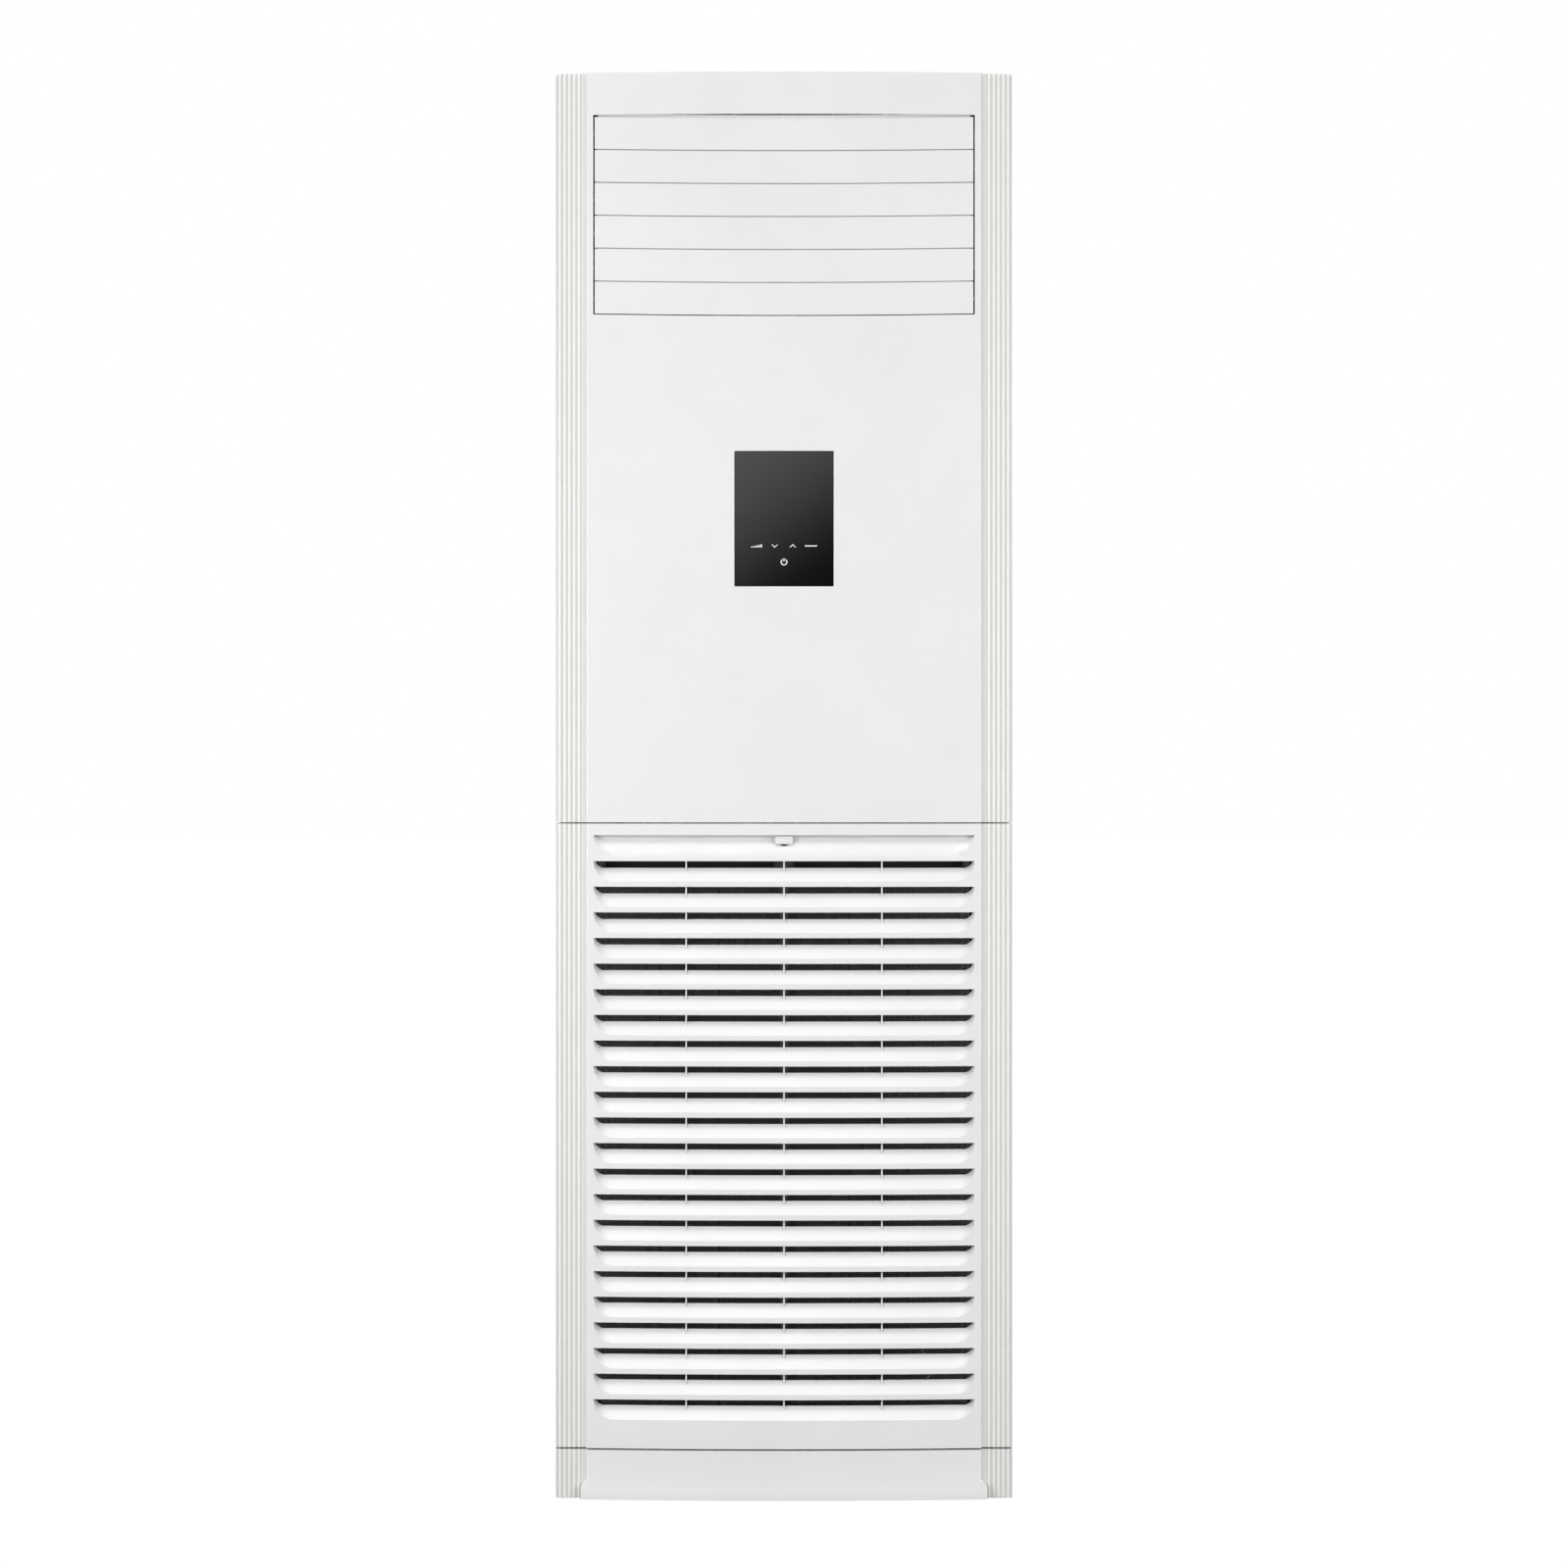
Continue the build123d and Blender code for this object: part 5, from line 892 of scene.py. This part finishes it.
@dataclass
class DisplayWindow:
    """Black glass of the display with its printed touch marks."""

    thick_mm: float = 3.0
    inset_mm: float = 0.3
    corner_mm: float = 2.2
    corner_steps: int = 5
    rim_above: float = 1.0  # angle between the faces that meet at the rim, in radians
    edge_mm: float = 0.35
    row_below_mm: float = 35.3
    power_below_mm: float = 56.1
    stroke_mm: float = 1.25
    ink_mm: float = 0.04
    steps: int = 5  # bars, and dots
    bar_pitch_mm: float = 3.0
    bar_wide_mm: float = 1.7
    bar_low_mm: float = 1.2  # height of the first bar
    bar_grow_mm: float = 0.7  # from a bar to the next
    bar_foot_mm: float = 2.0  # below the middle of the row
    dot_pitch_mm: float = 3.2
    dot_mm: float = 1.15
    chevron_wide_mm: float = 7.4
    chevron_rise_mm: float = 3.4
    ring_mm: float = 3.8
    ring_open_deg: float = 32.0  # to each side of the top
    stem_share: float = 1.1  # of the ring's radius
    stem_rise: float = 0.75  # of the ring's radius, up to the stem's middle
    marks: dict[Mark, float] = field(
        default_factory=lambda: {
            Mark.BARS: -35.5,
            Mark.DOWN: -12.0,
            Mark.UP: 11.4,
            Mark.DOTS: 34.9,
            Mark.POWER: 0.0,
        }
    )

    def glass(self) -> Object:
        """Make the pane: rounded corners, the crown of the front and a ground rim.

        Returns:
            The pane, which stands for its CAD node.
        """
        mesh = bmesh.new()
        bmesh.ops.create_grid(mesh, x_segments=12, y_segments=1, size=0.5)
        size = Matrix.Diagonal((GLASS_WIDTH_MM * MM, GLASS_HEIGHT_MM * MM, 1, 1))
        bmesh.ops.transform(mesh, matrix=facing(0, GLASS_MIDDLE_MM) @ size, verts=mesh.verts)
        half = GLASS_WIDTH_MM * MM / 2
        corners = [v for v in mesh.verts if abs(abs(v.co.x) - half) < WELD]
        break_edges(mesh, corners, self.corner_mm, self.corner_steps, affect="VERTICES")
        for vert in mesh.verts:
            vert.co.y = crown_y(vert.co.x, self.inset_mm)
        thicken(mesh, self.thick_mm)
        sharp = [e for e in mesh.edges if e.calc_face_angle(0.0) > self.rim_above]
        break_edges(mesh, [e for e in sharp if self.in_front(e)], self.edge_mm)
        pane = place_piece(mesh, "display_pane", "cabinet", "black_glass")
        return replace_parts(pane, "display_glass")

    def in_front(self, edge: BMEdge) -> bool:
        """Tell whether an edge lies in the pane's front face."""
        return all(abs(v.co.y - crown_y(v.co.x, self.inset_mm)) < WELD for v in edge.verts)

    def strip(self, mesh: BMesh, x: float, z: float, wide: float, high: float) -> list:
        """Add a flat upright bar.

        Args:
            mesh: The marks' bmesh.
            x: Middle of the bar across, in millimetres.
            z: Middle of the bar up, in millimetres.
            wide: Its width, in millimetres.
            high: Its height, in millimetres.

        Returns:
            Its vertices.
        """
        at = facing(x, z) @ Matrix.Diagonal((wide * MM, high * MM, 1, 1))
        made = bmesh.ops.create_grid(mesh, x_segments=2, y_segments=1, size=0.5, matrix=at)
        return made["verts"]

    def chevron(self, mesh: BMesh, x: float, z: float, rise: float) -> None:
        """Add an open arrow: a bar whose middle is lifted or dropped.

        Args:
            mesh: The marks' bmesh.
            x: Its middle across, in millimetres.
            z: Its middle up, in millimetres.
            rise: How far its point stands above its ends, in millimetres.
        """
        for vert in self.strip(mesh, x, z - rise / 2, self.chevron_wide_mm, self.stroke_mm):
            if abs(vert.co.x - x * MM) < WELD:
                vert.co.z += rise * MM

    def power(self, mesh: BMesh, x: float, z: float) -> None:
        """Add the power symbol: a ring open at its top, with a bar in the opening.

        Args:
            mesh: The marks' bmesh.
            x: Its middle across, in millimetres.
            z: Its middle up, in millimetres.
        """
        middle = Vector((x * MM, 0, z * MM))
        half = self.stroke_mm / 2
        start = math.radians(self.ring_open_deg)
        ray = Vector((math.sin(start), 0, math.cos(start)))
        ends = [mesh.verts.new(middle + ray * (self.ring_mm + side) * MM) for side in (-half, half)]
        edge = mesh.edges.new(ends)
        bmesh.ops.spin(
            mesh,
            geom=[*ends, edge],
            cent=middle,
            axis=(0, 1, 0),
            dvec=(0, 0, 0),
            angle=math.tau - 2 * start,
            steps=26,
        )
        top = z + self.ring_mm * self.stem_rise
        self.strip(mesh, x, top, self.stroke_mm, self.ring_mm * self.stem_share)

    def print_marks(self) -> Object:
        """Print the touch marks on the pane.

        Returns:
            One piece with all the marks.
        """
        mesh = bmesh.new()
        row = GLASS_MIDDLE_MM - self.row_below_mm
        counts = [n - self.steps // 2 for n in range(self.steps)]
        for mark, x in self.marks.items():
            if mark is Mark.BARS:
                for n, step in enumerate(counts):
                    high = self.bar_low_mm + self.bar_grow_mm * n
                    middle = row - self.bar_foot_mm + high / 2
                    self.strip(mesh, x + step * self.bar_pitch_mm, middle, self.bar_wide_mm, high)
            elif mark is Mark.DOTS:
                for step in counts:
                    bmesh.ops.create_circle(
                        mesh,
                        cap_ends=True,
                        segments=14,
                        radius=self.dot_mm * MM,
                        matrix=facing(x + step * self.dot_pitch_mm, row),
                    )
            elif mark is Mark.POWER:
                self.power(mesh, x, GLASS_MIDDLE_MM - self.power_below_mm)
            else:
                rise = self.chevron_rise_mm
                self.chevron(mesh, x, row, rise if mark is Mark.UP else -rise)
        for vert in mesh.verts:
            vert.co.y = crown_y(vert.co.x, self.inset_mm)
        thicken(mesh, -self.ink_mm)
        return place_piece(mesh, "touch_marks", "cabinet", "white_shell", MARK_INK)

    def build(self) -> list[Object]:
        """Make the pane and its marks."""
        return [self.glass(), self.print_marks()]


@dataclass
class RearScrews:
    """Pan head screws with a cross recess that hold the rear panel."""

    head_mm: float = 4.5
    rise_mm: float = 1.5
    recess_mm: float = 1.1
    shank_mm: float = 1.8
    squares: int = 5  # of the grid in which the cross is sunk
    grid_share: float = 0.62  # half the grid's side, of the head's radius
    recess_taper: float = 0.7
    crown_share: float = 0.85  # radius where the dome starts to fall, of the head's
    crown_drop_mm: float = 0.25
    rim_share: float = 0.75  # of the rise, down to the head's widest line
    shank_shown_mm: float = 2.0

    def places(self) -> list[Vector]:
        """Read where the screws' heads end from their CAD node.

        Returns:
            The middle of each head's outer face, in metres, from the lowest screw up.
        """
        mesh = merged_copy("cabinet_screws")
        left, found = set(mesh.verts), []
        while left:
            island, edge = set(), [left.pop()]
            while edge:
                vert = edge.pop()
                island.add(vert)
                near = {e.other_vert(vert) for e in vert.link_edges} & left
                left -= near
                edge.extend(near)
            corners = [v.co for v in island]
            low, high = [Vector(f(c[i] for c in corners) for i in range(3)) for f in (min, max)]
            found.append(Vector(((low.x + high.x) / 2, high.y, (low.z + high.z) / 2)))
        mesh.free()
        return sorted(found, key=lambda at: (round(at.z, 4), at.x))

    def head(self, mesh: BMesh, at: Vector) -> None:
        """Add one screw: a recessed cross, a domed rim and a shank.

        Args:
            mesh: The screws' bmesh.
            at: Middle of the head's outer face, in metres.
        """
        turn = Matrix.Translation(at) @ Matrix.Rotation(-math.pi / 2, 4, "X")
        core = self.head_mm * self.grid_share * MM
        made = bmesh.ops.create_grid(
            mesh, x_segments=self.squares, y_segments=self.squares, size=core, matrix=turn
        )
        step = core * 2 / self.squares
        cross = []
        for face in dict.fromkeys(f for v in made["verts"] for f in v.link_faces):
            off = face.calc_center_median() - at
            near, far = sorted((abs(off.x), abs(off.z)))
            if near < step / 2 and far < step * 1.5:  # the middle square and its neighbours
                cross.append(face)
        verts = extrude(mesh, cross, -self.recess_mm)
        taper = (self.recess_taper, 1, self.recess_taper)
        bmesh.ops.scale(mesh, verts=verts, vec=taper, space=Matrix.Translation(-at))
        bmesh.ops.delete(mesh, geom=cross, context="FACES")
        rim = [e for v in made["verts"] for e in v.link_edges if e.is_boundary]
        rim = list(dict.fromkeys(rim))
        for radius, drop in (
            (self.head_mm * self.crown_share, self.crown_drop_mm),
            (self.head_mm, self.rise_mm * self.rim_share),
            (self.head_mm, self.rise_mm),
            (self.shank_mm, self.rise_mm),
            (self.shank_mm, self.rise_mm + self.shank_shown_mm),
        ):
            grown = bmesh.ops.extrude_edge_only(mesh, edges=rim)["geom"]
            for vert in grown:
                if isinstance(vert, BMVert):
                    out = Vector((vert.co.x - at.x, 0, vert.co.z - at.z)).normalized()
                    vert.co = at + out * radius * MM - Vector((0, drop * MM, 0))
            rim = [e for e in grown if isinstance(e, BMEdge) and e.is_boundary]
        bmesh.ops.edgeloop_fill(mesh, edges=rim)

    def build(self) -> Object:
        """Set a screw at every place.

        Returns:
            One piece with all the screws.
        """
        mesh = bmesh.new()
        for at in self.places():
            self.head(mesh, at)
        bmesh.ops.recalc_face_normals(mesh, faces=mesh.faces)
        piece = place_piece(mesh, "rear_screws", "cabinet", "screw_steel")
        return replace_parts(piece, "cabinet_screws")


@dataclass
class SteelCabinet:
    """Sheet steel skin: side panels, rear panel and top cover, with their screws."""

    fold_mm: float = 0.9
    screws: RearScrews = field(default_factory=RearScrews)

    def build(self) -> list[Object]:
        """Round the folds of the sheets and set the screws.

        Returns:
            The new pieces.
        """
        names = ["left_side_panel", "right_side_panel", "rear_panel", "top_cover"]
        made = [SoftEdged(name, "cabinet", "painted_steel", self.fold_mm).build() for name in names]
        return [*made, self.screws.build()]


@dataclass
class PortMembrane:
    """Slit rubber membrane that closes the pipe port until the pipes push through it."""

    middle_mm: tuple[float, float, float] = (215.0, 192.6, 115.0)
    radius_mm: float = 34.2
    hub_mm: float = 2.0
    slit_mm: float = 0.7
    thick_mm: float = 0.8
    petals: int = 8

    def build(self) -> list[Object]:
        """Cut the petals of the membrane.

        Returns:
            One piece with all the petals.
        """
        mesh = bmesh.new()
        middle = Vector(self.middle_mm) * MM
        share = math.tau / self.petals
        for number in range(self.petals):
            low, high = number * share, (number + 1) * share
            corners = []
            for angle, side in ((low, 1), (high, -1)):
                turned = Vector((-math.sin(angle), 0, math.cos(angle)))
                shift = turned * side * self.slit_mm * MM / 2
                ray = Vector((math.cos(angle), 0, math.sin(angle)))
                radii = (self.hub_mm, self.radius_mm)
                ends = [mesh.verts.new(middle + ray * radius * MM + shift) for radius in radii]
                corners += ends[::side]
            bulge = Vector((math.cos((low + high) / 2), 0, math.sin((low + high) / 2)))
            tip = mesh.verts.new(middle + bulge * self.radius_mm * MM)
            mesh.faces.new([*corners[:2], tip, *corners[2:]])
        thicken(mesh, -self.thick_mm)
        return [place_piece(mesh, "port_membrane", "cabinet", "rubber")]


@dataclass
class DeckSeal:
    """Rubber apron on the front flange of the blower deck, which closes it to the filters."""

    half_mm: float = 246.0
    behind_mm: float = -136.3
    thick_mm: float = 1.5
    foot_mm: float = 793.0
    head_mm: float = 833.0
    edge_mm: float = 0.4

    def build(self) -> list[Object]:
        """Make the apron.

        Returns:
            The new piece.
        """
        mesh = bmesh.new()
        depth = (self.behind_mm - self.thick_mm / 2) * MM
        middle = (0.0, depth, (self.foot_mm + self.head_mm) / 2 * MM)
        size = (2 * self.half_mm * MM, self.thick_mm * MM, (self.head_mm - self.foot_mm) * MM)
        at = Matrix.Translation(middle) @ Matrix.Diagonal((*size, 1))
        bmesh.ops.create_cube(mesh, size=1.0, matrix=at)
        break_edges(mesh, mesh.edges[:], self.edge_mm)
        return [place_piece(mesh, "deck_seal", "cabinet", "rubber")]


@dataclass
class InnerWorks:
    """Everything behind the front, whose CAD shapes stay and get their finish."""

    def build(self) -> list[Object]:
        """Give each CAD node that is still shown the finish of its material slot.

        Returns:
            The dressed nodes.
        """
        slots = {row["node"]: row["material_slot"] for row in frame["record"]["subparts"]}
        shown = {name: node for name, node in frame["nodes"].items() if not node.hide_render}
        for name, node in shown.items():
            for holder in node.material_slots:
                holder.material = SLOT_FINISH[slots[name]].material()
        return list(shown.values())


# ------------------------------------ studio


@dataclass(frozen=True)
class Lamp:
    """A soft box: where it stands, where it looks and how strong it is."""

    name: str
    place: tuple[float, float, float]
    aim: tuple[float, float, float]
    size: float
    watts: float

    def build(self) -> None:
        """Hang the lamp."""
        light = bpy.data.lights.new(self.name, "AREA")
        light.shape = "SQUARE"
        light.size = self.size
        light.energy = self.watts
        lamp = bpy.data.objects.new(self.name, light)
        lamp.location = self.place
        away = Vector(self.aim) - Vector(self.place)
        lamp.rotation_euler = away.to_track_quat("-Z", "Y").to_euler()
        bpy.context.scene.collection.objects.link(lamp)


@dataclass
class Studio:
    """White room, pale floor, five soft boxes and the camera square to the front.

    Lengths are in metres, and 1 is the strength of white.
    """

    room: float = 0.43
    floor_half: float = 60.0
    floor_drop: float = 0.0005
    floor_paint: tuple[str, str] = ("#8E8E8E", "#969696")
    floor_clouds: float = 6.0  # to a metre
    floor_glow: float = 1.15
    near: float = 0.86  # share of the glow up to fade_from, which is full at fade_to
    fade_from: float = 0.7
    fade_to: float = 3.0
    eye: tuple[float, float, float] = (0.0, -5.19, 0.9274)
    lens: float = 88.66
    sensor: float = 36.0
    sight: float = 200.0
    lamps: tuple[Lamp, ...] = (
        Lamp("key_box", (-0.3, -4.0, 6.6), (0.0, 0.0, 0.6), 3.0, 130.0),
        Lamp("left_box", (-2.0, -2.3, 1.15), (0.0, 0.0, 1.0), 1.1, 34.5),
        Lamp("right_box", (2.0, -2.3, 1.15), (0.0, 0.0, 1.0), 1.1, 28.5),
        Lamp("edge_box", (-3.2, -0.9, 0.9), (0.0, -0.2, 0.9), 1.6, 9.0),
        Lamp("rear_box", (2.6, 3.6, 2.6), (0.0, 0.0, 0.9), 2.2, 110.0),
    )

    def seen(self, work: NodeWork) -> Node:
        """Tell camera, mirror and glass rays from the rays that light things.

        Args:
            work: The nodes that ask.

        Returns:
            A node that gives 1 for a ray that sees the background, otherwise 0.
        """
        path = work.add("ShaderNodeLightPath").outputs
        seen = path["Is Camera Ray"]
        for kind in ("Is Glossy Ray", "Is Transmission Ray"):
            seen = work.add("ShaderNodeMath", {0: seen, 1: path[kind]}, operation="MAXIMUM")
        return seen

    def white_room(self) -> None:
        """Set the even light of the room and its white background."""
        world = bpy.data.worlds.new("white_room")
        bpy.context.scene.world = world
        work = NodeWork(world)
        level = work.add(
            "ShaderNodeMapRange", {"Value": self.seen(work), "To Min": self.room, "To Max": 1.0}
        )
        glow = work.add("ShaderNodeBackground", {"Color": (1, 1, 1, 1), "Strength": level})
        work.add("ShaderNodeOutputWorld", {"Surface": glow})

    def floor_finish(self) -> Material:
        """Make the matt paint, which glows white to the camera.

        Returns:
            The floor's material.
        """
        work = NodeWork(bpy.data.materials.new("matt_floor_paint"))
        place = work.add("ShaderNodeTexCoord").outputs["Object"]
        clouds = work.add("ShaderNodeTexNoise", {"Vector": place, "Scale": self.floor_clouds})
        low, high = [linear(code) for code in self.floor_paint]
        tone = work.add(
            "ShaderNodeMix", {SHARE: clouds, COLOUR_LOW: low, COLOUR_HIGH: high}, data_type="RGBA"
        )
        paint = work.add("ShaderNodeBsdfDiffuse", {"Color": tone.outputs[COLOUR_OUT]})
        glow = work.add(
            "ShaderNodeEmission", {"Color": (1, 1, 1, 1), "Strength": self.floor_glow}
        )
        away = work.add("ShaderNodeVectorMath", {0: place}, operation="LENGTH")
        fade = work.add(
            "ShaderNodeMapRange",
            {
                "Value": away.outputs["Value"],
                "From Min": self.fade_from,
                "From Max": self.fade_to,
                "To Min": self.near,
                "To Max": 1.0,
            },
        )
        share = work.add("ShaderNodeMath", {0: self.seen(work), 1: fade}, operation="MULTIPLY")
        both = work.add("ShaderNodeMixShader", {0: share, 1: paint, 2: glow})
        work.add("ShaderNodeOutputMaterial", {"Surface": both})
        return work.owner

    def floor(self) -> None:
        """Lay the pale floor, which fades into the background away from the object."""
        mesh = bmesh.new()
        low = Matrix.Translation((0, 0, -self.floor_drop))
        bmesh.ops.create_grid(mesh, x_segments=8, y_segments=8, size=self.floor_half, matrix=low)
        data = bpy.data.meshes.new("pale_floor")
        mesh.to_mesh(data)
        mesh.free()
        data.materials.append(self.floor_finish())
        floor = bpy.data.objects.new("pale_floor", data)
        bpy.context.scene.collection.objects.link(floor)

    def camera(self) -> None:
        """Set the camera square to the front, half way up the object."""
        data = bpy.data.cameras.new("front_camera")
        data.sensor_width = self.sensor
        data.lens = self.lens
        data.clip_end = self.sight
        camera = bpy.data.objects.new("front_camera", data)
        camera.location = self.eye
        camera.rotation_euler = (math.pi / 2, 0, 0)
        bpy.context.scene.collection.objects.link(camera)
        bpy.context.scene.camera = camera

    def build(self) -> None:
        """Set up room, floor, lamps and camera."""
        self.white_room()
        self.floor()
        for lamp in self.lamps:
            lamp.build()
        self.camera()
        bpy.context.scene.view_settings.view_transform = "Standard"


def main() -> None:
    """Build the sub-assemblies in order and report each one."""
    logging.basicConfig(level=logging.INFO, format="%(message)s")
    Studio().build()
    front = (FrontMouldings(), LouvreBank(), DisplayWindow())
    for part in (*front, SteelCabinet(), PortMembrane(), DeckSeal(), InnerWorks()):
        for piece in part.build():
            faces = len(piece.data.polygons)
            LOG.info("%s: %s, %d faces", type(part).__name__, piece.name, faces)


if __name__ == "__main__":
    main()
